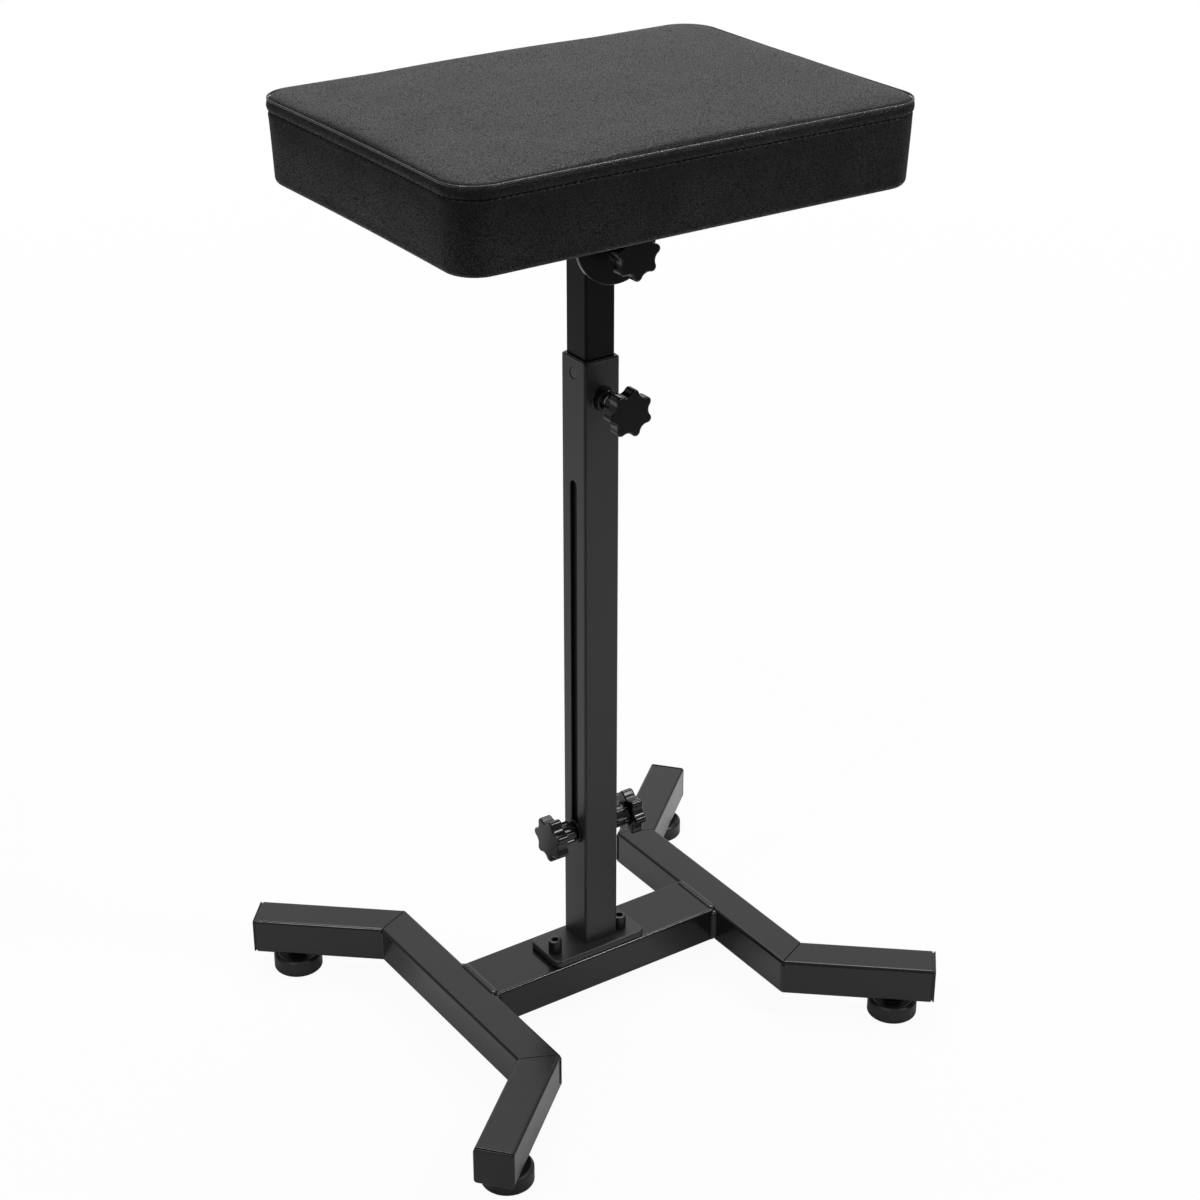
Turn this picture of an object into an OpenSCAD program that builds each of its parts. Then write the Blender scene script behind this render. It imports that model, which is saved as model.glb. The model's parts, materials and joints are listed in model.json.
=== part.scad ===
// Tattoo leg rest: an upholstered pad that tilts on top of a height-adjustable square column,
// which is screwed to a cross beam between two bent legs with levelling feet.
// Lengths are in millimetres and angles in degrees. +X runs along the pad and the beam,
// -Y is the front, with the lock knob, and +Z is up. The origin is on the floor under the column.

/* [Legs and beam] */
// Side of the square tube of the legs
leg_side = 30; // [26:1:38]
// Wall of the leg tubes, the beam and the column
tube_wall = 1.5; // [1.2:0.1:2.2]
// Radius of the long edges of the leg tubes and the beam
leg_edge_r = 2.5; // [1.5:0.5:4]
// Width of the cross beam
beam_w = 50; // [46:1:60]
// Length of the cross beam between the two legs
beam_l = 208; // [180:1:260]
// Length of a leg's middle tube, on the side of the column
leg_mid_l = 229; // [190:1:280]
// Length of an arm, on the side of the column
arm_l = 117.5; // [95:0.5:150]
// Angle by which an arm bends away from the column
arm_bend = 49.5; // [30:0.5:60]
// Thickness of the flange of an end cap
cap_flange_t = 2.2; // [1.5:0.1:4]

/* [Feet] */
// Diameter of a levelling foot
foot_d = 39; // [30:0.5:46]
// Height of a foot without its stud
foot_h = 13.8; // [11:0.1:20]
// Free height between a foot and its leg
foot_gap = 5.7; // [5.2:0.1:12]
// Distance from an arm's end to the middle of its foot
foot_inset = 30; // [24:1:40]
// Diameter of a foot's threaded stud
foot_stud_d = 8; // [6:0.5:10]

/* [Base plate] */
// Length of the plate that the column is welded on
plate_l = 84; // [80:1:100]
// Width of that plate
plate_w = 39; // [34:1:44]
// Thickness of that plate
plate_t = 6; // [4:0.5:8]
// Distance between the two screws of the plate
screw_span = 61; // [56:1:66]
// Diameter of a plate screw's head
screw_head_d = 10.5; // [9:0.5:13]
// Height of a plate screw's head
screw_head_h = 11.5; // [6:0.5:14]

/* [Column] */
// Side of the square outer column
column_side = 30; // [29:0.5:34]
// Length of the outer column
column_l = 486; // [460:1:560]
// Radius of the long edges of the column
column_edge_r = 2; // [1:0.5:3]
// Height by which the pad can be raised
lift = 292; // [200:4:320]
// Height of the clamp stud over the base plate at the lowest setting
stud_h = 98; // [70:0.5:120]
// Width of the two long slots
slot_w = 8.6; // [8.4:0.1:10]
// Height of the plastic rim on top of the column
rim_h = 3; // [2:0.5:5]
// Distance of the lock knob's axis below the top of the column
lock_drop = 26.3; // [23:0.1:34]
// Diameter of the welded boss that the lock stud screws into
boss_d = 17; // [14:0.5:20]
// Length of that boss
boss_l = 8; // [6:0.5:12]

/* [Post] */
// Side of the square inner post
post_side = 25; // [22:0.5:25]
// Wall of the inner post
post_wall = 1.5; // [1.2:0.1:2]
// Length of the post below the clamp stud
post_tail = 20; // [14:1:30]

/* [Tilt joint] */
// Height of the tilt axis over the top of the column at the lowest setting
tilt_rise = 90.4; // [80:0.2:120]
// Diameter of the sleeve across the top of the post
sleeve_d = 25; // [20:0.5:26]
// Distance between the inner faces of the two cheeks
cheek_gap = 58; // [50:1:66]
// Thickness of a half-moon cheek
cheek_t = 4; // [3:0.5:5]
// Radius of a cheek's round lower edge
cheek_r = 33; // [28:0.5:36]
// Height of that round edge's centre over the tilt axis
cheek_lift = 6; // [2:0.5:10]
// Height of the pad's underside over the tilt axis
pad_rise = 36.6; // [32:0.2:44]
// Length of the steel plate under the pad
bracket_l = 120; // [100:1:150]
// Width of the steel plate under the pad
bracket_w = 100; // [96:1:120]
// Thickness of the steel plate under the pad
bracket_t = 3; // [2.5:0.5:5]

/* [Knobs] */
// Diameter of a knob's star
star_d = 36; // [30:0.5:40]
// Thickness of a knob's star
star_t = 10; // [7:0.5:14]
// Number of lobes of a knob
lobes = 7; // [5:1:9]
// Radius of a lobe's tip
lobe_r = 3.2; // [2.4:0.1:3.6]
// Diameter over the valleys between the lobes
waist_d = 28.6; // [24:0.2:29]
// Length of a knob's hub behind the star
hub_l = 14; // [13:0.5:18]
// Diameter of a knob's hub
hub_d = 15.6; // [14:0.5:18]
// Diameter of the clamp stud, the lock stud and the tilt bolt
rod_d = 8; // [6:0.5:8]
// Turn of the lock knob's lobes
lock_turn = -23.8; // [-26:0.2:26]
// Turn of the tilt knob's lobes
tilt_turn = 10.6; // [-26:0.2:26]
// Turn of the left clamp knob's lobes
left_turn = -13.8; // [-26:0.2:26]
// Turn of the right clamp knob's lobes
right_turn = 13; // [-26:0.2:26]

/* [Pad] */
// Length of the pad
pad_l = 368; // [320:1:420]
// Width of the pad
pad_w = 268; // [220:1:320]
// Height of the pad from its underside to the seam
pad_h = 59; // [45:1:80]
// Height of the crown of the top over the seam
pad_crown = 6; // [2:0.5:12]
// Radius of the pad's corners, seen from above
pad_corner_r = 26; // [18:1:40]
// Distance by which a side leans in at its foot
pad_taper = 2.5; // [0:0.5:6]
// Depth by which the sides are drawn in between the corners
pad_draw = 1.2; // [0:0.1:3]
// Radius of the edge where the leather wraps under the pad
wrap_r = 5; // [3:0.5:8]
// Thickness of the leather
leather_t = 1.2; // [0.8:0.1:2]
// Thickness of the plywood board
board_t = 12; // [9:1:18]

/* [Hidden] */

$fn = 96;
// Overrun of a cut past the face that it opens
cut = 1;
// Clearance between flat faces that move past each other
slide_gap = 0.3;
// Radial clearance of a pin or stud that turns in its bore
pin_gap = 0.06;
// Radial clearance of a screw in a plain hole
hole_gap = 0.3;
// Colours, as the photograph shows them
paint = "#1d1d1f";
plastic = "#151516";
steel = "#8e9094";
leather = "#2a2a2c";

// Height of the underside of the legs
leg_z = foot_h + foot_gap;
// Height of the middle of the leg tubes and the beam
leg_axis_z = leg_z + leg_side / 2;
// Height of the top of the legs and the beam
leg_top_z = leg_z + leg_side;
// Height of the top of the base plate, on which the column stands
plate_z = leg_top_z + plate_t;
// Height of the top of the column
column_z = plate_z + column_l;
// Heights of the clamp stud, the lock knob and the tilt axis at the lowest setting
stud_z = plate_z + stud_h;
lock_z = column_z - lock_drop;
tilt_z = column_z + tilt_rise;
// Height of the pad's leather underside
pad_z = tilt_z + pad_rise;
// Inner side of the column
column_in = column_side - 2 * tube_wall;
// Outer face of a cheek, from the middle of the column
cheek_face = cheek_gap / 2 + cheek_t;
// Length of a knob, from the hub's end to the face of the star
knob_l = hub_l + star_t;

// Outline of a rectangle with round corners
module round_rect(l, w, r) {
    square([l - 2 * r, w], center = true);
    square([l, w - 2 * r], center = true);
    for (sx = [-1, 1], sy = [-1, 1])
        translate([sx * (l / 2 - r), sy * (w / 2 - r)]) circle(r);
}

// Section of a rectangular tube
module tube_section(l, w, r, wall) {
    difference() {
        round_rect(l, w, r);
        round_rect(l - 2 * wall, w - 2 * wall, max(r - wall, wall / 3));
    }
}

// Places a piece that is drawn for the rear right quarter in any quarter of the base
module quarter(sx, sy) {
    mirror([sx < 0 ? 1 : 0, 0, 0]) mirror([0, sy < 0 ? 1 : 0, 0]) children();
}

// Frame of an arm: origin at the bend on the column's side, +Y along the arm, +X to its outer side
module arm_frame(sx, sy) {
    quarter(sx, sy) translate([beam_l / 2, leg_mid_l / 2, leg_axis_z]) rotate(-arm_bend) children();
}

// Frame at the middle of a foot, on the floor
module foot_frame(sx, sy) {
    arm_frame(sx, sy) translate([leg_side / 2, arm_l - foot_inset, -leg_axis_z]) children();
}

// Lays a piece that is drawn upright along -Y, the way the front knobs point
module to_front() { rotate([90, 0, 0]) children(); }

// Stands a piece that is drawn upright out of a side face of the column
module to_side(sx) { rotate([0, sx * 90, 0]) children(); }

// Reach of the block that cuts a mitre
mitre_reach = 2 * leg_side;

module cross_beam() {
    color(paint) translate([0, 0, leg_axis_z]) difference() {
        rotate([90, 0, 90]) linear_extrude(height = beam_l, center = true)
            tube_section(beam_w, leg_side, leg_edge_r, tube_wall);
        at_screws() translate([0, 0, -cut]) cylinder(d = rivet_d, h = leg_side);
    }
}

module leg_tube(sx) {
    color(paint) quarter(sx, 1) translate([beam_l / 2, 0, leg_axis_z]) difference() {
        translate([leg_side / 2, 0, 0]) rotate([90, 0, 0])
            linear_extrude(height = leg_mid_l, center = true)
                tube_section(leg_side, leg_side, leg_edge_r, tube_wall);
        for (sy = [-1, 1]) mirror([0, sy < 0 ? 1 : 0, 0]) translate([0, leg_mid_l / 2, 0])
            rotate(-arm_bend / 2) translate([-mitre_reach, 0, -mitre_reach])
                cube([2 * mitre_reach, mitre_reach, 2 * mitre_reach]);
    }
}

module arm(sx, sy) {
    color(paint) arm_frame(sx, sy) difference() {
        translate([leg_side / 2, arm_l, 0]) rotate([90, 0, 0]) linear_extrude(height = arm_l)
            tube_section(leg_side, leg_side, leg_edge_r, tube_wall);
        rotate(arm_bend / 2) translate([-mitre_reach, -mitre_reach, -mitre_reach])
            cube([2 * mitre_reach, mitre_reach, 2 * mitre_reach]);
        translate([leg_side / 2, arm_l - foot_inset, -leg_side / 2 - cut])
            cylinder(r = foot_stud_d / 2 + hole_gap, h = tube_wall + 2 * cut);
    }
}

// Radius of a weld bead in the corner of two tubes, and its rise over a flush joint
bead_r = 3;
bead_rise = 0.8;

// Beads between the beam's ends and the legs, along both sides and across the top
module beam_welds() {
    color(paint) for (sx = [-1, 1]) difference() {
        translate([sx * beam_l / 2, 0, leg_axis_z]) union() {
            for (sy = [-1, 1]) translate([0, sy * beam_w / 2, 0])
                cylinder(r = bead_r, h = leg_side - 2 * leg_edge_r, center = true);
            translate([0, 0, leg_side / 2 + bead_rise - bead_r])
                to_front() cylinder(r = bead_r, h = beam_w - leg_edge_r, center = true);
        }
        translate([0, 0, leg_axis_z]) rotate([90, 0, 90]) linear_extrude(height = beam_l, center = true)
            round_rect(beam_w, leg_side, leg_edge_r);
        translate([sx * (beam_l + leg_side) / 2, 0, leg_axis_z]) rotate([90, 0, 0])
            linear_extrude(height = leg_mid_l, center = true)
                round_rect(leg_side, leg_side, leg_edge_r);
    }
}

// Depth and wall of an end cap's plug, and the step of its pillowed face
plug_depth = 14;
plug_wall = 1.6;
pillow = 0.7;

module end_cap(sx, sy) {
    // Inner side of the leg tube, which the plug fills
    plug_side = leg_side - 2 * tube_wall;
    color(plastic) arm_frame(sx, sy) translate([leg_side / 2, arm_l, 0]) rotate([-90, 0, 0]) {
        linear_extrude(height = cap_flange_t - pillow) round_rect(leg_side, leg_side, leg_edge_r);
        linear_extrude(height = cap_flange_t)
            round_rect(leg_side - 2 * pillow, leg_side - 2 * pillow, leg_edge_r);
        translate([0, 0, -plug_depth]) linear_extrude(height = plug_depth)
            tube_section(plug_side, plug_side, max(leg_edge_r - tube_wall, tube_wall / 3), plug_wall);
    }
}

// Bevels of a foot's rims, and the depth of its stud in the foot
foot_bevel = 1.8;
sole_bevel = 1;
foot_stud_in = 8;
// Height of the weld nut inside the leg, and how far the stud stands over it
weld_nut_h = 7;
stud_over = 4;
// Height of the jam nut under the leg
jam_nut_h = 4.6;
// Diameter of a nut across its corners, as a share of its stud's
nut_share = 1.8;

module foot(sx, sy) {
    color(plastic) foot_frame(sx, sy) difference() {
        rotate_extrude() polygon([[0, 0], [foot_d / 2 - sole_bevel, 0], [foot_d / 2, sole_bevel],
            [foot_d / 2, foot_h - foot_bevel], [foot_d / 2 - foot_bevel, foot_h], [0, foot_h]]);
        translate([0, 0, foot_h - foot_stud_in]) cylinder(d = foot_stud_d, h = foot_stud_in + cut);
    }
}

module foot_stud(sx, sy) {
    color(steel) foot_frame(sx, sy) translate([0, 0, foot_h - foot_stud_in])
        cylinder(d = foot_stud_d, h = foot_stud_in + foot_gap + tube_wall + weld_nut_h + stud_over);
}

module foot_weld_nuts() {
    color(steel) for (sx = [-1, 1], sy = [-1, 1]) foot_frame(sx, sy)
        translate([0, 0, leg_z + tube_wall]) difference() {
            cylinder(d = nut_share * foot_stud_d, h = weld_nut_h);
            translate([0, 0, -cut]) cylinder(r = foot_stud_d / 2 + pin_gap, h = weld_nut_h + 2 * cut);
        }
}

module foot_jam_nuts() {
    color(steel) for (sx = [-1, 1], sy = [-1, 1]) foot_frame(sx, sy)
        translate([0, 0, leg_z - jam_nut_h]) difference() {
            cylinder(d = nut_share * foot_stud_d, h = jam_nut_h, $fn = 6);
            translate([0, 0, -cut]) cylinder(r = foot_stud_d / 2 + pin_gap, h = jam_nut_h + 2 * cut);
        }
}

// The plate's screws stand to the left of the column's middle, with the right one close beside the
// column, and in front of its middle. The plate stands a little to the right of the screws' middle
screw_gap = 0.55;
screw_x = (column_side + screw_head_d - screw_span) / 2 + screw_gap;
screw_y = -9.5;
plate_shift = 3.7;
plate_x = screw_x + plate_shift;
plate_y = (column_side - plate_w) / 2;
plate_corner_r = 5;
plate_edge = 0.8;
// Shank of a plate screw, its length below the plate, the barrel and flange of its rivet nut
screw_d = 6;
screw_in = 14;
rivet_d = 9;
rivet_l = 12;
// Width across the flats and depth of a screw's hexagon socket
socket_w = 5;
socket_depth = 5;
screw_edge = 0.6;

// Places a piece at both plate screws
module at_screws() {
    for (s = [-1, 1]) translate([screw_x + s * screw_span / 2, screw_y, 0]) children();
}

module base_plate() {
    color(paint) translate([plate_x, plate_y, leg_top_z]) difference() {
        union() {
            linear_extrude(height = plate_t - plate_edge) round_rect(plate_l, plate_w, plate_corner_r);
            linear_extrude(height = plate_t)
                round_rect(plate_l - 2 * plate_edge, plate_w - 2 * plate_edge, plate_corner_r - plate_edge);
        }
        translate([-plate_x, -plate_y, -cut]) at_screws()
            cylinder(r = screw_d / 2 + hole_gap, h = plate_t + 2 * cut);
    }
}

module base_screws() {
    color(steel) at_screws() {
        translate([0, 0, plate_z]) difference() {
            rotate_extrude() polygon([[0, 0], [screw_head_d / 2, 0],
                [screw_head_d / 2, screw_head_h - screw_edge],
                [screw_head_d / 2 - screw_edge, screw_head_h], [0, screw_head_h]]);
            translate([0, 0, screw_head_h - socket_depth])
                cylinder(d = socket_w / cos(30), h = socket_depth + cut, $fn = 6);
        }
        translate([0, 0, leg_top_z - screw_in]) cylinder(d = screw_d, h = plate_t + screw_in);
    }
}

module beam_rivet_nuts() {
    color(steel) at_screws() translate([0, 0, leg_top_z - rivet_l]) difference() {
        cylinder(d = rivet_d, h = rivet_l);
        translate([0, 0, -cut]) cylinder(d = screw_d, h = rivet_l + 2 * cut);
    }
}

// Outer end of a slot, measured from the axis of a rod in it
slot_r = slot_w / 2;
// Round window for the snap button of the rim's bush, its place below the column's top
button_d = 8.8;
button_drop = 9;
// Depth of the bush in the column, the recess of its buttons behind the column's face
bush_depth = 18;
button_recess = 0.5;
rim_edge = 0.8;

module outer_column() {
    color(paint) difference() {
        translate([0, 0, plate_z]) linear_extrude(height = column_l)
            tube_section(column_side, column_side, column_edge_r, tube_wall);
        translate([-column_side / 2 - cut, -slot_r, stud_z]) cube([column_side + 2 * cut, slot_w, lift]);
        for (z = [stud_z, stud_z + lift]) translate([0, 0, z]) to_side(1)
            cylinder(r = slot_r, h = column_side + 2 * cut, center = true);
        translate([0, 0, column_z - button_drop]) to_side(1)
            cylinder(d = button_d, h = column_side + 2 * cut, center = true);
        translate([0, 0, lock_z]) to_front()
            cylinder(r = rod_d / 2 + hole_gap, h = column_side / 2 + cut);
    }
}

module column_bush() {
    // Side of the square way for the post
    way = post_side + 2 * slide_gap;
    way_r = post_edge_r + slide_gap;
    color(plastic) difference() {
        union() {
            translate([0, 0, column_z - bush_depth]) linear_extrude(height = bush_depth)
                round_rect(column_in, column_in, max(column_edge_r - tube_wall, tube_wall / 3));
            translate([0, 0, column_z]) {
                linear_extrude(height = rim_h - rim_edge)
                    round_rect(column_side, column_side, column_edge_r);
                linear_extrude(height = rim_h)
                    round_rect(column_side - 2 * rim_edge, column_side - 2 * rim_edge, column_edge_r);
            }
            translate([0, 0, column_z - button_drop]) to_side(1)
                cylinder(r = button_d / 2 - hole_gap, h = column_side - 2 * button_recess, center = true);
        }
        translate([0, 0, column_z - bush_depth - cut])
            linear_extrude(height = bush_depth + rim_h + 2 * cut) round_rect(way, way, way_r);
    }
}

module lock_boss() {
    color(paint) translate([0, -column_side / 2, lock_z]) to_front() difference() {
        cylinder(d = boss_d, h = boss_l);
        translate([0, 0, -cut]) cylinder(r = rod_d / 2 + pin_gap, h = boss_l + 2 * cut);
    }
}

// Radius of the long edges of the post
post_edge_r = 1.8;
// The post ends this share of the sleeve's diameter below the tilt axis
post_end_share = 0.24;

module inner_post() {
    // Bottom of the post at the lowest setting, and its top against the sleeve
    foot_z = stud_z - post_tail;
    top_z = tilt_z - post_end_share * sleeve_d;
    color(paint) difference() {
        translate([0, 0, foot_z]) linear_extrude(height = top_z - foot_z)
            tube_section(post_side, post_side, post_edge_r, post_wall);
        translate([0, 0, tilt_z]) to_front() cylinder(d = sleeve_d, h = 2 * post_side, center = true);
        translate([0, 0, stud_z]) to_side(1)
            cylinder(r = rod_d / 2 + pin_gap, h = 2 * post_side, center = true);
    }
}

// Thickness of the glide's shoe under the post, and the depth and wall of its plug
shoe_t = 4;
glide_depth = 12;
glide_wall = 2;

module post_glide() {
    plug_side = post_side - 2 * post_wall;
    shoe_side = column_in - 2 * slide_gap;
    color(plastic) translate([0, 0, stud_z - post_tail]) {
        translate([0, 0, -shoe_t]) linear_extrude(height = shoe_t)
            round_rect(shoe_side, shoe_side, post_edge_r);
        linear_extrude(height = glide_depth)
            tube_section(plug_side, plug_side, max(post_edge_r - post_wall, post_wall / 3), glide_wall);
    }
}

// Wall of the sleeve's tube, and the flange and barrel of its end bushes
sleeve_wall = 2;
bush_flange_t = 1.5;
bush_barrel_l = 12;

module pivot_sleeve() {
    color(paint) translate([0, 0, tilt_z]) to_front() difference() {
        cylinder(d = sleeve_d, h = cheek_gap - 2 * (slide_gap + bush_flange_t), center = true);
        cylinder(d = sleeve_d - 2 * sleeve_wall, h = cheek_gap, center = true);
    }
}

module sleeve_bushes() {
    color(plastic) for (s = [-1, 1]) translate([0, 0, tilt_z]) mirror([0, s > 0 ? 1 : 0, 0])
        translate([0, -cheek_gap / 2 + slide_gap, 0]) rotate([-90, 0, 0]) difference() {
            union() {
                cylinder(d = sleeve_d - sleeve_wall, h = bush_flange_t);
                cylinder(d = sleeve_d - 2 * sleeve_wall, h = bush_flange_t + bush_barrel_l);
            }
            translate([0, 0, -cut])
                cylinder(r = rod_d / 2 + pin_gap, h = bush_flange_t + bush_barrel_l + 2 * cut);
        }
}

// Beads between the post's side walls and the sleeve
module sleeve_welds() {
    // Height of the post's end, where a bead lies against the sleeve
    top_z = tilt_z - post_end_share * sleeve_d;
    color(paint) for (sx = [-1, 1]) difference() {
        translate([sx * post_side / 2, 0, top_z]) to_front()
            cylinder(r = post_wall, h = post_side - 2 * post_edge_r, center = true);
        translate([0, 0, tilt_z]) to_front() cylinder(d = sleeve_d, h = 2 * post_side, center = true);
        translate([0, 0, top_z - post_side]) linear_extrude(height = post_side)
            round_rect(post_side, post_side, post_edge_r);
        translate([0, 0, tilt_z]) cube([post_side - 2 * post_wall, 2 * post_side, sleeve_d], center = true);
    }
}

// Diameter and thickness of the washers under the knobs, and the depth of a rod in its knob
washer_d = 20;
washer_t = 1.5;
rod_in = 11;
// Face of the column from its middle, where a clamp washer slides
washer_z = column_side / 2 + slide_gap;
clamp_z = washer_z + washer_t + slide_gap;

module washer() {
    difference() {
        cylinder(d = washer_d, h = washer_t);
        translate([0, 0, -cut]) cylinder(d = rod_d, h = washer_t + 2 * cut);
    }
}

module clamp_stud() {
    color(steel) translate([0, 0, stud_z]) to_side(1)
        cylinder(d = rod_d, h = 2 * (clamp_z + rod_in), center = true);
}

module slot_washers() {
    color(steel) for (sx = [-1, 1]) translate([0, 0, stud_z]) to_side(sx)
        translate([0, 0, washer_z]) washer();
}

// Outer seat of the tilt washers and of the tilt knob, from the middle of the column
tilt_seat = cheek_face + slide_gap;
tilt_knob_seat = tilt_seat + washer_t + slide_gap;
// Head of the tilt bolt, across its corners
bolt_head_d = 15;
bolt_head_h = 5.3;

module tilt_bolt() {
    color(steel) translate([0, 0, tilt_z]) to_front() {
        translate([0, 0, -tilt_seat - washer_t])
            cylinder(d = rod_d, h = tilt_seat + washer_t + tilt_knob_seat + rod_in);
        translate([0, 0, -tilt_seat - washer_t - bolt_head_h])
            cylinder(d = bolt_head_d, h = bolt_head_h, $fn = 6);
    }
}

module tilt_washers() {
    color(steel) translate([0, 0, tilt_z]) for (s = [-1, 1]) rotate([s * 90, 0, 0])
        translate([0, 0, tilt_seat]) washer();
}

// Insert of a knob: its diameter, and its depth in the hub
insert_d = 11;
insert_l = 12;
// Radius of a hub's ribs, the collar that spreads the hub into the star, and edge bevels
rib_r = 1.5;
collar_h = 3;
collar_spread = 3;
star_edge = 1.4;
hub_edge = 0.8;

// Outline of the star: lobes and valleys are arcs that run into each other
module star_outline() {
    half = 180 / lobes;
    // Radii of the circles on which the lobes' and valleys' arcs are centred
    lobe_c = star_d / 2 - lobe_r;
    waist_r = waist_d / 2;
    valley_r = (lobe_r * lobe_r - waist_r * waist_r - lobe_c * lobe_c + 2 * waist_r * lobe_c * cos(half))
        / (2 * (waist_r - lobe_c * cos(half) - lobe_r));
    valley_c = waist_r + valley_r;
    difference() {
        polygon([for (i = [0 : 2 * lobes - 1])
            (i % 2 == 0 ? lobe_c : valley_c) * [cos(i * half), sin(i * half)]]);
        for (i = [0 : lobes - 1]) rotate((2 * i + 1) * half) translate([valley_c, 0]) circle(valley_r);
    }
    for (i = [0 : lobes - 1]) rotate(2 * i * half) translate([lobe_c, 0]) circle(lobe_r);
}

// Knob drawn upright: hub from zero to hub_l, then the star, with a blind bore from below
module knob(turn, bore_d) {
    color(plastic) rotate(turn) difference() {
        union() {
            intersection() {
                translate([0, 0, hub_l]) linear_extrude(height = star_t) star_outline();
                rotate_extrude() polygon([[0, hub_l], [star_d / 2 - star_edge, hub_l],
                    [star_d / 2 + cut, hub_l + star_edge + cut],
                    [star_d / 2 + cut, knob_l - star_edge - cut],
                    [star_d / 2 - star_edge, knob_l], [0, knob_l]]);
            }
            rotate_extrude() polygon([[0, 0], [hub_d / 2 - hub_edge, 0], [hub_d / 2, hub_edge],
                [hub_d / 2, hub_l - collar_h], [hub_d / 2 + collar_spread, hub_l],
                [hub_d / 2 + collar_spread, hub_l + star_edge], [0, hub_l + star_edge]]);
            for (i = [0 : lobes - 1]) rotate(i * 360 / lobes)
                translate([hub_d / 2, 0, hub_edge + rib_r]) cylinder(r = rib_r, h = hub_l - hub_edge - rib_r);
        }
        translate([0, 0, -cut]) cylinder(d = bore_d, h = insert_l + cut);
    }
}

module insert() {
    color(steel) difference() {
        cylinder(d = insert_d, h = insert_l);
        translate([0, 0, -cut]) cylinder(r = rod_d / 2 + pin_gap, h = insert_l + 2 * cut);
    }
}

// Places a piece on the seat of each knob
module clamp_seat(sx) { translate([0, 0, stud_z]) to_side(sx) translate([0, 0, clamp_z]) children(); }
module tilt_knob_place() { translate([0, -tilt_knob_seat, tilt_z]) to_front() children(); }
// Length of the lock stud that shows between the boss and the knob
lock_free = 5.2;
module lock_place() {
    translate([0, -column_side / 2 - boss_l - lock_free, lock_z]) to_front() children();
}

module left_clamp_knob() { clamp_seat(-1) knob(left_turn, insert_d); }
module left_clamp_insert() { clamp_seat(-1) insert(); }
module right_clamp_knob() { clamp_seat(1) knob(right_turn, insert_d); }
module right_clamp_insert() { clamp_seat(1) insert(); }
module tilt_knob() { tilt_knob_place() knob(tilt_turn, insert_d); }
module tilt_knob_insert() { tilt_knob_place() insert(); }
module lock_knob() { lock_place() knob(lock_turn, rod_d); }

module lock_stud() {
    // Distance from the knob's end to the face of the post
    reach = lock_free + boss_l + (column_side - post_side) / 2 - slide_gap;
    color(steel) lock_place() translate([0, 0, -reach]) cylinder(d = rod_d, h = reach + insert_l);
}

// Thickness of the dust cover, which lies between the bracket and the pad
dust_t = 0.5;
bracket_z = pad_z - dust_t - bracket_t;
bracket_corner_r = 8;
// Screws of the bracket: their distance from its edges, shank, head and length in the board
bracket_margin = 12;
bracket_screw_d = 6;
bracket_head_d = 11;
bracket_head_h = 3.3;

// Places a piece at the four screws of the bracket
module at_bracket_screws() {
    for (sx = [-1, 1], sy = [-1, 1])
        translate([sx * (bracket_l / 2 - bracket_margin), sy * (bracket_w / 2 - bracket_margin), 0])
            children();
}

module tilt_bracket() {
    color(paint) translate([0, 0, bracket_z]) difference() {
        linear_extrude(height = bracket_t) round_rect(bracket_l, bracket_w, bracket_corner_r);
        translate([0, 0, -cut]) at_bracket_screws()
            cylinder(r = bracket_screw_d / 2 + hole_gap, h = bracket_t + 2 * cut);
    }
}

// Half-moon cheek: a round lower edge with straight sides up to the bracket
module cheek(sy) {
    color(paint) translate([0, sy * (cheek_gap + cheek_t) / 2, tilt_z]) to_front()
        linear_extrude(height = cheek_t, center = true) difference() {
            union() {
                translate([0, cheek_lift]) circle(cheek_r);
                translate([-cheek_r, cheek_lift]) square([2 * cheek_r, bracket_z - tilt_z - cheek_lift]);
            }
            translate([-cheek_r - cut, bracket_z - tilt_z]) square([2 * (cheek_r + cut), cheek_r]);
            circle(rod_d / 2 + pin_gap);
        }
}

// Beads along the outer faces of the cheeks under the bracket: their radius, and their length as
// a share of the cheek's radius
bracket_bead_r = 2.6;
bracket_bead_share = 1.7;

module bracket_welds() {
    color(paint) for (sy = [-1, 1]) difference() {
        translate([0, sy * cheek_face, bracket_z]) rotate([0, 90, 0])
            cylinder(r = bracket_bead_r, h = bracket_bead_share * cheek_r, center = true);
        translate([-cheek_r - cut, -cheek_face, bracket_z - cheek_r])
            cube([2 * (cheek_r + cut), 2 * cheek_face, 2 * cheek_r]);
        translate([-cheek_r - cut, -bracket_w / 2, bracket_z])
            cube([2 * (cheek_r + cut), bracket_w, bracket_t + bracket_bead_r]);
    }
}

module bracket_screws() {
    color(steel) at_bracket_screws() {
        translate([0, 0, bracket_z - bracket_head_h]) rotate_extrude() polygon([[0, 0],
            [bracket_head_d / 4, 0], [bracket_head_d / 2, bracket_head_h * 2 / 3],
            [bracket_head_d / 2, bracket_head_h], [0, bracket_head_h]]);
        translate([0, 0, bracket_z])
            cylinder(d = bracket_screw_d, h = bracket_t + dust_t + leather_t + board_t - tee_flange_t);
    }
}

// Tee nuts in the board: flange and barrel
tee_flange_d = 19;
tee_flange_t = 1.5;
tee_barrel_d = 8;
board_z = pad_z + leather_t;
tee_barrel_l = board_t * 3 / 4;

// The solid space of a tee nut, also cut from the board
module tee_space() {
    translate([0, 0, board_z + board_t - tee_flange_t]) cylinder(d = tee_flange_d, h = tee_flange_t);
    translate([0, 0, board_z + board_t - tee_barrel_l]) cylinder(d = tee_barrel_d, h = tee_barrel_l);
}

module tee_nuts() {
    color(steel) at_bracket_screws() difference() {
        tee_space();
        translate([0, 0, board_z]) cylinder(d = bracket_screw_d, h = board_t + cut);
    }
}

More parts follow.
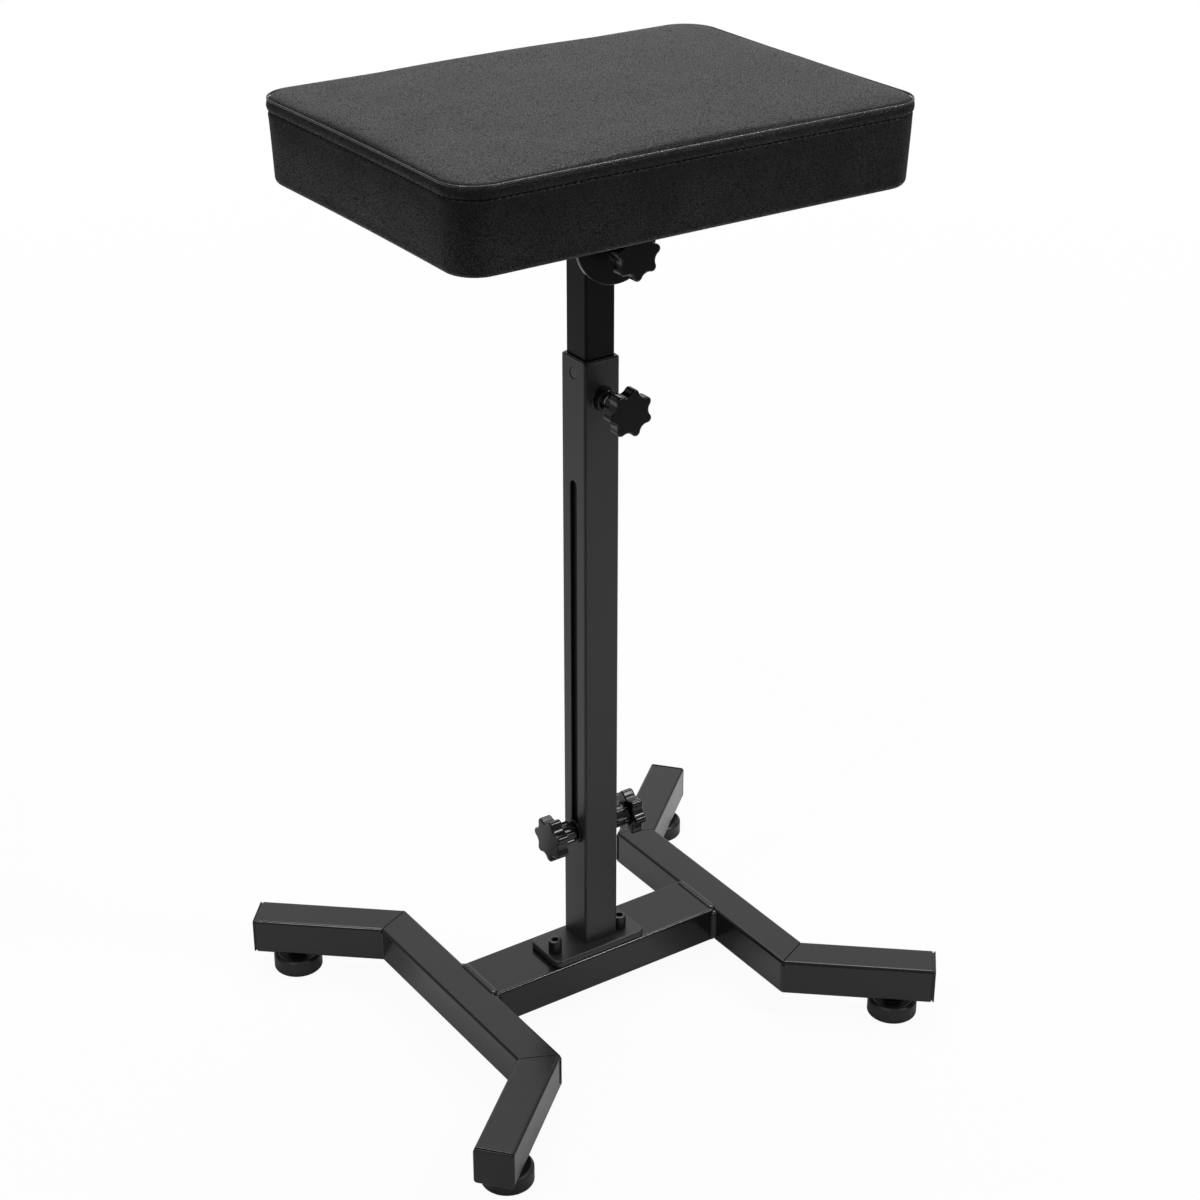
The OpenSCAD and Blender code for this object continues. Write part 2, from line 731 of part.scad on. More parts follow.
// Inset of the board, which lies inside the cover's round lower edge where that is drawn in most
board_inset = pad_taper + wrap_r + pad_draw;
board_l = pad_l - 2 * board_inset;
board_w = pad_w - 2 * board_inset;
board_r = pad_corner_r - wrap_r;

module pad_board() {
    color("#b8935f") difference() {
        translate([0, 0, board_z]) linear_extrude(height = board_t) round_rect(board_l, board_w, board_r);
        at_bracket_screws() {
            tee_space();
            translate([0, 0, board_z - cut]) cylinder(r = bracket_screw_d / 2 + hole_gap, h = board_t);
        }
    }
}

// Points of the pad's outline at an inset from its widest line: four round corners, and sides
// that are drawn in between them as a sine
corner_steps = 4;
side_steps = 6;
function pad_outline(inset) = let (
        r = pad_corner_r - inset,
        a = pad_l / 2 - pad_corner_r,
        b = pad_w / 2 - pad_corner_r)
    [for (q = [0 : 3]) each let (
            // Signs of this corner, and the side that follows it anticlockwise
            sx = (q == 0 || q == 3) ? 1 : -1,
            sy = q < 2 ? 1 : -1,
            long = q % 2 == 0,
            along = long ? a : b)
        concat(
            [for (i = [0 : corner_steps]) let (t = 90 * (q + i / corner_steps))
                [sx * a + r * cos(t), sy * b + r * sin(t)]],
            [for (i = [1 : side_steps - 1]) let (
                    s = 1 - 2 * i / side_steps,
                    draw = pad_draw * cos(90 * s))
                long ? [sx * s * a, sy * (b + r - draw)] : [sx * (a + r - draw), sy * s * b]])];

// A ring of the pad: the outline at an inset and a height over the pad's underside
function ring(inset, h) = [for (p = pad_outline(inset)) [p.x, p.y, pad_z + h]];

// A ring of the crowned top, at a share of the way out from the middle, a depth below the leather's face
function top_ring(share, depth) =
    [for (p = pad_outline(lip_valley)) [share * p.x, share * p.y, pad_z + top_h(share) - depth]];
function top_h(share) = pad_h + lip_h * pow(share, 3) / 2 + pad_crown * (1 - pow(share, 3));

// The round lower edge, from the side to the underside, at an inset inwards of the leather's face
wrap_steps = 3;
function wrap_rings(depth) = [for (i = [0 : wrap_steps]) let (t = 90 * i / wrap_steps)
    ring(pad_taper + wrap_r - (wrap_r - depth) * cos(t), wrap_r - (wrap_r - depth) * sin(t))];

// Skin over a list of rings, closed by a point at both ends, or as a loop
module skin(rings, ends) {
    n = len(rings[0]);
    m = len(rings);
    points = concat([for (r = rings) each r], ends);
    walls = [for (j = [0 : m - (len(ends) > 0 ? 2 : 1)], i = [0 : n - 1]) let (
            p = j * n + i,
            q = j * n + (i + 1) % n,
            u = ((j + 1) % m) * n + i,
            v = ((j + 1) % m) * n + (i + 1) % n)
        each [[p, u, v], [p, v, q]]];
    caps = len(ends) == 0 ? [] : concat(
        [for (i = [0 : n - 1]) [m * n, i, (i + 1) % n]],
        [for (i = [0 : n - 1]) [m * n + 1, (m - 1) * n + (i + 1) % n, (m - 1) * n + i]]);
    polyhedron(points = points, faces = concat(walls, caps));
}

// Folded lip of the seam: its height, its stand-out and the valley inside it
lip_h = 1.6;
lip_out = 0.6;
lip_valley = 2.4;
// Shares of the way from the middle to the edge at which the crown has rings
crown_shares = [0.3, 0.55, 0.75, 0.9, 1];
// Width of the leather that is folded under the board
return_w = 24;

module pad_top_panel() {
    color(leather) skin(concat(
            [for (s = crown_shares) top_ring(s, 0)],
            [ring(lip_valley / 2, pad_h + lip_h), ring(0, pad_h + lip_h), ring(-lip_out, pad_h + lip_h / 2),
             ring(0, pad_h), ring(lip_valley, pad_h)],
            [for (i = [len(crown_shares) - 2 : -1 : 0]) top_ring(crown_shares[i], leather_t)]),
        [[0, 0, pad_z + top_h(0)], [0, 0, pad_z + top_h(0) - leather_t]]);
}

module pad_side_band() {
    outer = concat([ring(0, pad_h), ring(pad_taper / 2, pad_h / 2)], wrap_rings(0),
        [ring(pad_taper + wrap_r + return_w, 0)]);
    inner = concat([ring(leather_t, pad_h), ring(leather_t + pad_taper / 2, pad_h / 2)],
        wrap_rings(leather_t), [ring(pad_taper + wrap_r + return_w, leather_t)]);
    m = len(inner);
    color(leather) skin(concat(outer, [for (i = [m - 1 : -1 : 0]) inner[i]]), []);
}

module pad_foam() {
    color("#d8d2bd") difference() {
        skin(concat(
                [for (i = [0 : len(crown_shares) - 2]) top_ring(crown_shares[i], leather_t)],
                [ring(lip_valley, pad_h), ring(leather_t, pad_h),
                 ring(leather_t + pad_taper / 2, pad_h / 2)],
                wrap_rings(leather_t)),
            [[0, 0, pad_z + top_h(0) - leather_t], [0, 0, board_z]]);
        translate([0, 0, board_z - cut]) linear_extrude(height = board_t + cut)
            round_rect(board_l, board_w, board_r);
    }
}

// Distance of the dust cover's edge from the foot of the pad's side
dust_inset = 14;

module dust_cover() {
    color("#101011") translate([0, 0, pad_z - dust_t]) difference() {
        linear_extrude(height = dust_t) round_rect(pad_l - 2 * (pad_taper + dust_inset),
            pad_w - 2 * (pad_taper + dust_inset), pad_corner_r - dust_inset);
        translate([0, 0, -cut]) at_bracket_screws()
            cylinder(r = bracket_screw_d / 2 + hole_gap, h = dust_t + 2 * cut);
    }
}

cross_beam();
leg_tube(-1);  // left_leg_tube
leg_tube(1);  // right_leg_tube
arm(-1, -1);  // front_left_arm
arm(-1, 1);  // rear_left_arm
arm(1, -1);  // front_right_arm
arm(1, 1);  // rear_right_arm
beam_welds();
end_cap(-1, -1);  // front_left_cap
end_cap(-1, 1);  // rear_left_cap
end_cap(1, -1);  // front_right_cap
end_cap(1, 1);  // rear_right_cap
foot(-1, -1);  // front_left_foot
foot(-1, 1);  // rear_left_foot
foot(1, -1);  // front_right_foot
foot(1, 1);  // rear_right_foot
foot_stud(-1, -1);  // front_left_foot_stud
foot_stud(-1, 1);  // rear_left_foot_stud
foot_stud(1, -1);  // front_right_foot_stud
foot_stud(1, 1);  // rear_right_foot_stud
foot_weld_nuts();
foot_jam_nuts();
base_plate();
base_screws();
beam_rivet_nuts();
outer_column();
column_bush();
lock_boss();
inner_post();
post_glide();
pivot_sleeve();
sleeve_bushes();
sleeve_welds();
clamp_stud();
slot_washers();
tilt_bolt();
tilt_washers();
left_clamp_knob();
left_clamp_insert();
right_clamp_knob();
right_clamp_insert();
lock_knob();
lock_stud();
tilt_knob();
tilt_knob_insert();
tilt_bracket();
cheek(-1);  // front_cheek
cheek(1);  // rear_cheek
bracket_welds();
bracket_screws();
tee_nuts();
pad_board();
pad_foam();
pad_side_band();
pad_top_panel();
dust_cover();
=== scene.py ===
# %% [markdown]
# # A leg rest for a tattoo studio
# The rest is a padded board that tilts on top of a square column. The column telescopes, is
# clamped by star knobs, and is screwed to a beam between two bent legs with levelling feet.
# Another program has already built every piece at its real size. This lesson gives them their
# looks: it loads that model as a fixed frame, works out finer surfaces with numpy, stuffs the
# pad with a cloth simulation, and paints everything with procedural materials.

# %% Load the fixed frame
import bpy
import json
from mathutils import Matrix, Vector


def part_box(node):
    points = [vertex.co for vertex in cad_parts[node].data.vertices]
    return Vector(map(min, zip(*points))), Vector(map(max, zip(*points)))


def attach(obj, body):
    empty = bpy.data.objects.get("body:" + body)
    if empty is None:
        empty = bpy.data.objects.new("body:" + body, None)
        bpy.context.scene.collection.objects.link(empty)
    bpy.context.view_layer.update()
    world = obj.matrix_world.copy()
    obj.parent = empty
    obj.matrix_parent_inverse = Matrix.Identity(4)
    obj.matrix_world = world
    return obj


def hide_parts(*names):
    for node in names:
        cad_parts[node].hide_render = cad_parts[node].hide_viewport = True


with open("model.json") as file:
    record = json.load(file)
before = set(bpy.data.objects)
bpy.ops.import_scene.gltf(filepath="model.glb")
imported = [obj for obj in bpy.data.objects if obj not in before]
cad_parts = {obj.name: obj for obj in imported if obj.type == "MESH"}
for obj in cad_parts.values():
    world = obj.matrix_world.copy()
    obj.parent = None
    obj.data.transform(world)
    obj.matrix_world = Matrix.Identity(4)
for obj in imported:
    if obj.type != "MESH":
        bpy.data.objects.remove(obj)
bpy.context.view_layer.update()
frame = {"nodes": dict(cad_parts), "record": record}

# %% Libraries and the unit
import json
import math

import bmesh
import bpy
import numpy as np
from mathutils import Matrix

# One millimetre in metres, which is the unit of the frame
MM = 0.001
TAU = 2 * math.pi
print("Blender", bpy.app.version_string, "with numpy", np.__version__)

# %% [markdown]
# ## From arrays to meshes
# Most pieces here are surfaces on a grid: rings of points, one after another, with quads in
# between. The helpers in this section turn such rings into faces. A surface is kept as a pair,
# its points and a list of face arrays, so that several can be joined before they become a mesh.

# %% Faces of a grid
def grid_faces(rows, cols, close_rows=False, close_cols=True):
    """Quads between neighbouring points of a grid that is stored row by row.
    The point at row r and column c has the number r * cols + c."""
    r, c = np.meshgrid(np.arange(rows if close_rows else rows - 1),
                       np.arange(cols if close_cols else cols - 1), indexing="ij")
    below = ((r + 1) % rows) * cols
    beside = (c + 1) % cols
    return np.stack([r * cols + c, r * cols + beside, below + beside, below + c], -1).reshape(-1, 4)


def loft(rings, close_rows=False, caps=True):
    """Skin over rings[k, i], the point i of ring k. Unless the rings close on themselves,
    a fan from its middle closes the first ring and the last."""
    rows, cols = rings.shape[:2]
    points = rings.reshape(-1, 3)
    blocks = [grid_faces(rows, cols, close_rows)]
    if caps and not close_rows:
        here = np.arange(cols)
        after = (here + 1) % cols
        first = np.full(cols, rows * cols)
        end = (rows - 1) * cols
        points = np.vstack([points, rings[0].mean(0), rings[-1].mean(0)])
        blocks += [np.stack([first, after, here], -1),
                   np.stack([first + 1, end + here, end + after], -1)]
    return points, blocks


def joined(*surfaces):
    """Several surfaces as one: each one's face numbers move on by the points before it."""
    starts = np.cumsum([0] + [len(points) for points, _ in surfaces])
    blocks = [block + start for (_, own), start in zip(surfaces, starts) for block in own]
    return np.vstack([points for points, _ in surfaces]), blocks


def placed(surface, origin, x, y, z):
    """The surface in another frame: point = origin + px * x + py * y + pz * z."""
    points, blocks = surface
    return np.asarray(origin, float) + points @ np.array([x, y, z], float), blocks


print("Grid of 3 x 4 points:", len(grid_faces(3, 4)), "quads round it")

# %% [markdown]
# ## From a mesh to a piece
# A piece is a mesh with its place in its points, so its object stays at the origin. It gets the
# finish of its slot in the record, rides on a body of the frame, and may stand for plain nodes.
# Weighted normals keep the big flat faces flat and let the small eased edges take the turn.

# %% Add a piece
MERGE = 0.001 * MM
WHOLE_FACE_ANGLE = math.radians(0.4)
EDGE_ANGLE = math.radians(30)
finishes = {}


def new_mesh(name, surface, merge=True):
    """A mesh of a surface: points that meet are merged, and faces are turned outwards."""
    points, blocks = surface
    mesh = bpy.data.meshes.new(name)
    mesh.from_pydata(points.tolist(), [], [face for block in blocks for face in block.tolist()])
    shape = bmesh.new()
    shape.from_mesh(mesh)
    if merge:
        bmesh.ops.remove_doubles(shape, verts=shape.verts, dist=MERGE)
    bmesh.ops.recalc_face_normals(shape, faces=shape.faces)
    shape.to_mesh(mesh)
    shape.free()
    return mesh


def keep_flat(piece):
    """Weighted normals, which keep the big flat faces flat."""
    weighted = piece.modifiers.new("flat_faces", "WEIGHTED_NORMAL")
    weighted.keep_sharp = True


def hang(name, mesh, slot, body, replaces=(), look=None):
    """Makes a mesh an object with its material slot and its body, and hides what it stands for.
    A look is a finish other than the slot's own."""
    mesh.materials.append(finishes[slot])
    mesh.polygons.foreach_set("use_smooth", np.ones(len(mesh.polygons), bool))
    piece = bpy.data.objects.new(name, mesh)
    bpy.context.scene.collection.objects.link(piece)
    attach(piece, body)
    if replaces:
        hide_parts(*replaces)
    if look:
        piece.material_slots[0].material = look
    print(f"{name}: {len(mesh.polygons)} faces, rides on {body}")
    return piece


def add_piece(name, surface, slot, body, replaces=(), crease=35, flat_faces=True, look=None):
    """Makes a surface a piece, on which edges sharper than crease degrees stay sharp."""
    piece = hang(name, new_mesh(name, surface), slot, body, replaces, look)
    piece.data.set_sharp_from_angle(angle=math.radians(crease))
    if flat_faces:
        keep_flat(piece)
    return piece


def refined(name, node, slot, body, ease, look=None):
    """A merged copy of a node for shapes with cut-outs: its flat triangles are dissolved into
    whole faces, and a Bevel modifier eases its sharp edges by the width ease."""
    mesh = frame["nodes"][node].data.copy()
    shape = bmesh.new()
    shape.from_mesh(mesh)
    bmesh.ops.remove_doubles(shape, verts=shape.verts, dist=MERGE)
    bmesh.ops.dissolve_limit(shape, angle_limit=WHOLE_FACE_ANGLE, verts=shape.verts,
                             edges=shape.edges)
    shape.to_mesh(mesh)
    shape.free()
    mesh.materials.clear()
    piece = hang(name, mesh, slot, body, [node], look)
    bevel = piece.modifiers.new("eased_edges", "BEVEL")
    bevel.width = ease
    bevel.segments = 2
    bevel.limit_method = "ANGLE"
    bevel.angle_limit = EDGE_ANGLE
    keep_flat(piece)


def shade_flat_faces(piece, finish):
    """Gives the flat faces to the front and the back a second finish, a darker copy that paints shade.
    The rims keep theirs.
    """
    piece.data.materials.append(finish)
    flat = [int(abs(face.normal.y) > 0.99) for face in piece.data.polygons]
    piece.data.polygons.foreach_set("material_index", flat)


print("Points closer than", MERGE / MM, "mm are merged")

# %% [markdown]
# ## Shader building blocks
# An effect that several finishes share is a node group with named inputs and outputs: the
# relief of a moulded or sprayed surface, dust that settles on upward faces, and wear along
# edges. Groups only put out masks and heights. The shader itself stays in each material, so that
# its plain numbers sit on its own sockets.

# %% Helpers for nodes
def put(tree, kind, inputs=None, **settings):
    """A new shader node. Inputs are given by name or number, as a value or as a pair of a node
    and its output, which is linked."""
    made = tree.nodes.new("ShaderNode" + kind)
    for key, value in settings.items():
        setattr(made, key, value)
    for key, value in (inputs or {}).items():
        if isinstance(value, tuple) and isinstance(value[0], bpy.types.Node):
            feed(tree, value, made, key)
        else:
            made.inputs[key].default_value = value
    return made


def feed(tree, source, target, socket):
    """Links a pair of a node and its output to a socket of the target."""
    tree.links.new(source[0].outputs[source[1]], target.inputs[socket])


def calc(tree, operation, *numbers):
    """Two or three numbers taken together."""
    return put(tree, "Math", dict(enumerate(numbers)), operation=operation), 0


def vector(tree, operation, *vectors, result=0):
    """One vector or two taken together."""
    return put(tree, "VectorMath", dict(enumerate(vectors)), operation=operation), result


def vary(tree, value, low, high, floor=0.3, ceiling=0.7):
    """A value between floor and ceiling, spread from low to high."""
    return put(tree, "MapRange", {"Value": value, "From Min": floor, "From Max": ceiling,
                                  "To Min": low, "To Max": high}), "Result"


def noise(tree, where, scale, detail=2.0):
    """Smooth noise over the place where."""
    return put(tree, "TexNoise", {"Vector": where, "Scale": scale, "Detail": detail}), "Fac"


def place_in(tree):
    """The place in the object's own frame, in metres."""
    return put(tree, "TexCoord"), "Object"


def new_group(name, inputs, outputs):
    """An empty group with number sockets: its tree, its input node and its output node."""
    tree = bpy.data.node_groups.new(name, "ShaderNodeTree")
    for label, value in inputs.items():
        socket = tree.interface.new_socket(label, in_out="INPUT", socket_type="NodeSocketFloat")
        socket.default_value = value
    for label in outputs:
        tree.interface.new_socket(label, in_out="OUTPUT", socket_type="NodeSocketFloat")
    return tree, tree.nodes.new("NodeGroupInput"), tree.nodes.new("NodeGroupOutput")


def use_group(tree, group, **values):
    """A node that runs one of the groups, with its own values."""
    made = put(tree, "Group", node_tree=group)
    for label, value in values.items():
        made.inputs[label.replace("_", " ")].default_value = value
    return made


print("A shader node is put in by its kind, its inputs and its settings")

# %% Group: relief of two sizes, and broad patches
relief, enter, leave = new_group(
    "relief", {"Coarse": 700.0, "Fine": 2600.0, "Fine share": 0.3, "Patch": 14.0},
    ["Height", "Patches"])
where = place_in(relief)
height = put(relief, "Mix", {"Factor": (enter, "Fine share"),
                             "A": noise(relief, where, (enter, "Coarse"), 1.5),
                             "B": noise(relief, where, (enter, "Fine"))})
feed(relief, (height, "Result"), leave, "Height")
feed(relief, noise(relief, where, (enter, "Patch"), 4.0), leave, "Patches")
print("Group relief:", len(relief.nodes), "nodes")

# %% Group: dust that settles on faces that look up
dust, enter, leave = new_group("settled_dust", {"Amount": 0.5, "Speck": 900.0}, ["Mask"])
upward = put(dust, "SeparateXYZ", {0: (put(dust, "NewGeometry"), "Normal")})
level = vary(dust, (upward, "Z"), 0.0, 1.0, 0.4, 1.0)
sparse = vary(dust, noise(dust, place_in(dust), (enter, "Speck"), 3.0), 0.0, 1.0, 0.52, 0.78)
both = calc(dust, "MULTIPLY", level, sparse)
feed(dust, calc(dust, "MULTIPLY", both, (enter, "Amount")), leave, "Mask")
print("Group settled_dust:", len(dust.nodes), "nodes")

# %% Group: wear along edges
# A rounded normal differs from the true one only near an edge, so their dot product falls there.
wear, enter, leave = new_group("edge_wear", {"Reach": 0.0008, "Amount": 0.5}, ["Mask"])
rounded = put(wear, "Bevel", {"Radius": (enter, "Reach")}, samples=4)
same = vector(wear, "DOT_PRODUCT", (rounded, 0), (put(wear, "NewGeometry"), "Normal"),
              result="Value")
edge = vary(wear, same, 0.0, 1.0, 0.985, 0.86)
broken = vary(wear, noise(wear, place_in(wear), 60.0, 5.0), 0.0, 1.0, 0.4, 0.7)
both = calc(wear, "MULTIPLY", edge, broken)
feed(wear, calc(wear, "MULTIPLY", both, (enter, "Amount")), leave, "Mask")
print("Group edge_wear:", len(wear.nodes), "nodes")

# %% Group: grain of leather
# Cells with creases between them, warped so that no two look alike, over finer cells and pores.
WARP = 0.0042
grain, enter, leave = new_group("leather_grain", {"Scale": 540.0, "Pore scale": 2100.0}, ["Height"])
where = place_in(grain)
drift = put(grain, "TexNoise", {"Vector": where, "Scale": 160.0, "Detail": 3.0})
moved = vector(grain, "ADD", where,
               vector(grain, "MULTIPLY", (drift, "Color"), (WARP, WARP, WARP)))
cells = put(grain, "TexVoronoi", {"Vector": moved, "Scale": (enter, "Scale")},
            feature="DISTANCE_TO_EDGE")
domes = put(grain, "MapRange", {"Value": (cells, "Distance"), "From Max": 0.24},
            interpolation_type="SMOOTHSTEP")
total = put(grain, "Mix", {"Factor": 0.35, "A": (domes, "Result"),
                           "B": noise(grain, moved, (enter, "Pore scale"), 3.0)})
feed(grain, (total, "Result"), leave, "Height")
print("Groups:", [group.name for group in bpy.data.node_groups])

# %% [markdown]
# ## Finishes
# Each finish is a short function. It mixes two colours by a mask, lets the roughness wander a
# little, and gives the surface its relief through a Bump node whose distance is a real height.

# %% Helpers for finishes
def new_finish(name, **plain):
    """A material with a Principled shader, whose plain numbers go straight to its sockets."""
    material = bpy.data.materials.new(name)
    material.use_nodes = True
    tree = material.node_tree
    shader = tree.nodes["Principled BSDF"]
    for label, value in plain.items():
        shader.inputs[label.replace("_", " ")].default_value = value
    return material, tree, shader


def tint(tree, shader, dark, light, mask):
    """Base colour from dark, where the mask is 0, to light, where it is 1."""
    mixed = put(tree, "Mix", {"Factor": mask, "A": (*dark, 1.0), "B": (*light, 1.0)},
                data_type="RGBA")
    feed(tree, (mixed, "Result"), shader, "Base Color")


def emboss(tree, shader, height, depth):
    """Relief of a real depth, in metres, on the shader's normal."""
    bump = put(tree, "Bump", {"Height": height, "Distance": depth})
    feed(tree, (bump, "Normal"), shader, "Normal")


def gloss(tree, shader, value, low, high, floor=0.3, ceiling=0.7):
    """Roughness from low to high, as the value goes from floor to ceiling."""
    feed(tree, vary(tree, value, low, high, floor, ceiling), shader, "Roughness")


def age(tree, dusty, reach, rubbed):
    """Mask of what is dusty or rubbed, whichever is more."""
    settled = use_group(tree, dust, Amount=dusty)
    worn = use_group(tree, wear, Reach=reach, Amount=rubbed)
    return calc(tree, "MAXIMUM", (settled, "Mask"), (worn, "Mask"))


print("Relief, gloss, tint and age make up a finish")

# %% Powder coat
def powder_coat(name, smooth=0.15, rough=0.22, dark=0.0062, **plain):
    """Black powder coat with the faint orange peel of a baked powder, dust on top and a slightly
    thinner film along the edges."""
    material, tree, shader = new_finish(name, **plain)
    skin = use_group(tree, relief, Coarse=520.0, Fine=1900.0, Fine_share=0.25)
    light = age(tree, 0.3, 0.0007, 0.2)
    tint(tree, shader, (dark, dark, 1.04 * dark), (0.034, 0.034, 0.035), light)
    even = vary(tree, (skin, "Patches"), smooth, rough)
    feed(tree, calc(tree, "MULTIPLY_ADD", light, 0.25, even), shader, "Roughness")
    emboss(tree, shader, (skin, "Height"), 0.003 * MM)
    return material


finishes["powder_coat"] = powder_coat("gloss_powder_coat", IOR=1.47, Specular_IOR_Level=0.46)
# Two copies of the powder coat: a lighter one, painted light for the column and the plate, and a darker,
# duller one, painted shade for the post and the cheeks under the pad
lit_coat = powder_coat("lit_powder_coat", 0.3, 0.36, 0.024, IOR=1.47, Specular_IOR_Level=0.38)
shaded_coat = powder_coat("shaded_powder_coat", 0.3, 0.4, IOR=1.45, Specular_IOR_Level=0.13)
print("Powder coats:", finishes["powder_coat"].name, lit_coat.name, shaded_coat.name)

# %% Moulded plastics and rubber
def moulded(name, dark, light, smooth, rough, depth, coarse, **plain):
    """Moulded black plastic or rubber with a spark-eroded texture and dust in it. Dark is a
    colour and light a grey."""
    material, tree, shader = new_finish(name, **plain)
    skin = use_group(tree, relief, Coarse=coarse, Fine=4.2 * coarse, Fine_share=0.45)
    tint(tree, shader, dark, (light,) * 3, age(tree, 0.25, 0.0006, 0.25))
    gloss(tree, shader, (skin, "Patches"), smooth, rough)
    emboss(tree, shader, (skin, "Height"), depth)
    return material


PLASTIC_PEEL = 0.002 * MM
PLASTIC_BLACK = (0.0022, 0.0022, 0.0023)
finishes["cap_plastic"] = moulded("cap_plastic", (0.0085, 0.0085, 0.0088), 0.03, 0.3, 0.42,
                                  0.02 * MM, 1300.0, IOR=1.48)
finishes["knob_plastic"] = moulded("knob_plastic", PLASTIC_BLACK, 0.02, 0.18, 0.25,
                                   PLASTIC_PEEL, 900.0, IOR=1.48)
finishes["foot_rubber"] = moulded("foot_rubber", (0.0055, 0.0055, 0.0055), 0.05, 0.34, 0.5,
                                  0.025 * MM, 1100.0, IOR=1.47)
# A darker, duller copy of the knob plastic: painted shade on the faces of the front knobs
shaded_plastic = moulded("shaded_plastic", PLASTIC_BLACK, 0.02, 0.35, 0.45, PLASTIC_PEEL, 900.0,
                        IOR=1.45, Specular_IOR_Level=0.19)
print("Moulded finishes:", [slot for slot in finishes if slot != "powder_coat"])

# %% Metals
def zinc_plate():
    """Zinc plate: pale blue-grey metal with soft spangles and fine drawing marks."""
    material, tree, shader = new_finish("zinc_plate", Metallic=1.0)
    skin = use_group(tree, relief, Coarse=900.0, Fine=5200.0, Fine_share=0.5, Patch=130.0)
    tint(tree, shader, (0.43, 0.44, 0.46), (0.62, 0.63, 0.64),
         vary(tree, (skin, "Patches"), 0.0, 1.0))
    gloss(tree, shader, (skin, "Height"), 0.2, 0.36)
    emboss(tree, shader, (skin, "Height"), 0.01 * MM)
    return material


def black_oxide():
    """Blackened steel: a thin dark film over metal, which shows through on rubbed edges."""
    material, tree, shader = new_finish("black_oxide", Metallic=0.35, IOR=1.6)
    skin = use_group(tree, relief, Coarse=1100.0, Fine=4800.0, Fine_share=0.5, Patch=90.0)
    rubbed = use_group(tree, wear, Reach=0.0005, Amount=0.8)
    tint(tree, shader, (0.009, 0.009, 0.01), (0.12, 0.12, 0.125), (rubbed, "Mask"))
    gloss(tree, shader, (skin, "Patches"), 0.26, 0.4)
    emboss(tree, shader, (skin, "Height"), 0.012 * MM)
    return material


finishes["zinc_steel"] = zinc_plate()
finishes["black_steel"] = black_oxide()
print("Metals:", finishes["zinc_steel"].name, finishes["black_steel"].name)

# %% Leather
def artificial_leather(name, smooth=0.4, rough=0.68, **plain):
    """Black artificial leather: a shallow cell grain with pores, a little lighter on the crests,
    and a soft sheen that shows on the top when light grazes it. Where it is folded hard, it is
    stretched and smoother."""
    material, tree, shader = new_finish(name, IOR=1.45, Sheen_Roughness=0.35, **plain)
    cells = use_group(tree, grain)
    skin = use_group(tree, relief, Coarse=240.0, Fine=900.0, Fine_share=0.5, Patch=26.0)
    crest = calc(tree, "MULTIPLY", (cells, "Height"), (skin, "Patches"))
    tint(tree, shader, (0.004, 0.004, 0.0042), (0.026, 0.026, 0.0265),
         vary(tree, crest, 0.0, 1.0, 0.12, 0.56))
    gloss(tree, shader, (cells, "Height"), rough, smooth)
    emboss(tree, shader, (cells, "Height"), 0.1 * MM)
    return material


finishes["pad_leather"] = artificial_leather("artificial_leather", Specular_IOR_Level=0.2,
                                             Sheen_Weight=0.05)
folded_leather = artificial_leather("folded_leather", 0.2, 0.28, Specular_IOR_Level=0.9,
                                    Sheen_Weight=0.1)
print("Leathers:", finishes["pad_leather"].name, folded_leather.name)

# %% Thread, cloth, foam and board
def thread_finish():
    """Black polyester thread: fine twist lines and a silky gloss."""
    material, tree, shader = new_finish("sewing_thread", IOR=1.45, Specular_IOR_Level=0.12)
    skin = use_group(tree, relief, Coarse=3200.0, Fine=9000.0, Fine_share=0.4)
    tint(tree, shader, (0.001, 0.001, 0.001), (0.005, 0.005, 0.0051),
         vary(tree, (skin, "Height"), 0.0, 1.0))
    gloss(tree, shader, (skin, "Height"), 0.55, 0.75)
    emboss(tree, shader, (skin, "Height"), 0.05 * MM)
    return material


def spunbond():
    """Non-woven cloth: matted fibres, pressed together at rows of small dots."""
    material, tree, shader = new_finish("non_woven_cloth", Sheen_Weight=0.15)
    dots = put(tree, "TexVoronoi", {"Vector": place_in(tree), "Scale": 480.0,
                                    "Randomness": 0.15}, voronoi_dimensions="2D")
    pressed = vary(tree, (dots, "Distance"), 0.0, 1.0, 0.2, 0.34)
    skin = use_group(tree, relief, Coarse=1500.0, Fine=5200.0, Fine_share=0.5)
    height = calc(tree, "MULTIPLY", pressed, (skin, "Height"))
    tint(tree, shader, (0.008, 0.008, 0.008), (0.026, 0.026, 0.027), height)
    gloss(tree, shader, height, 0.5, 0.85, 0.0, 0.6)
    emboss(tree, shader, height, 0.12 * MM)
    return material


def open_foam():
    """Polyurethane foam: pale, matt, with open cells about a millimetre wide."""
    material, tree, shader = new_finish("seat_foam")
    cells = put(tree, "TexVoronoi", {"Vector": place_in(tree), "Scale": 900.0})
    skin = use_group(tree, relief, Coarse=300.0, Fine=1400.0)
    tint(tree, shader, (0.72, 0.66, 0.5), (0.5, 0.43, 0.29), (cells, "Distance"))
    gloss(tree, shader, (skin, "Height"), 0.8, 0.95)
    emboss(tree, shader, (cells, "Distance"), 0.3 * MM)
    return material


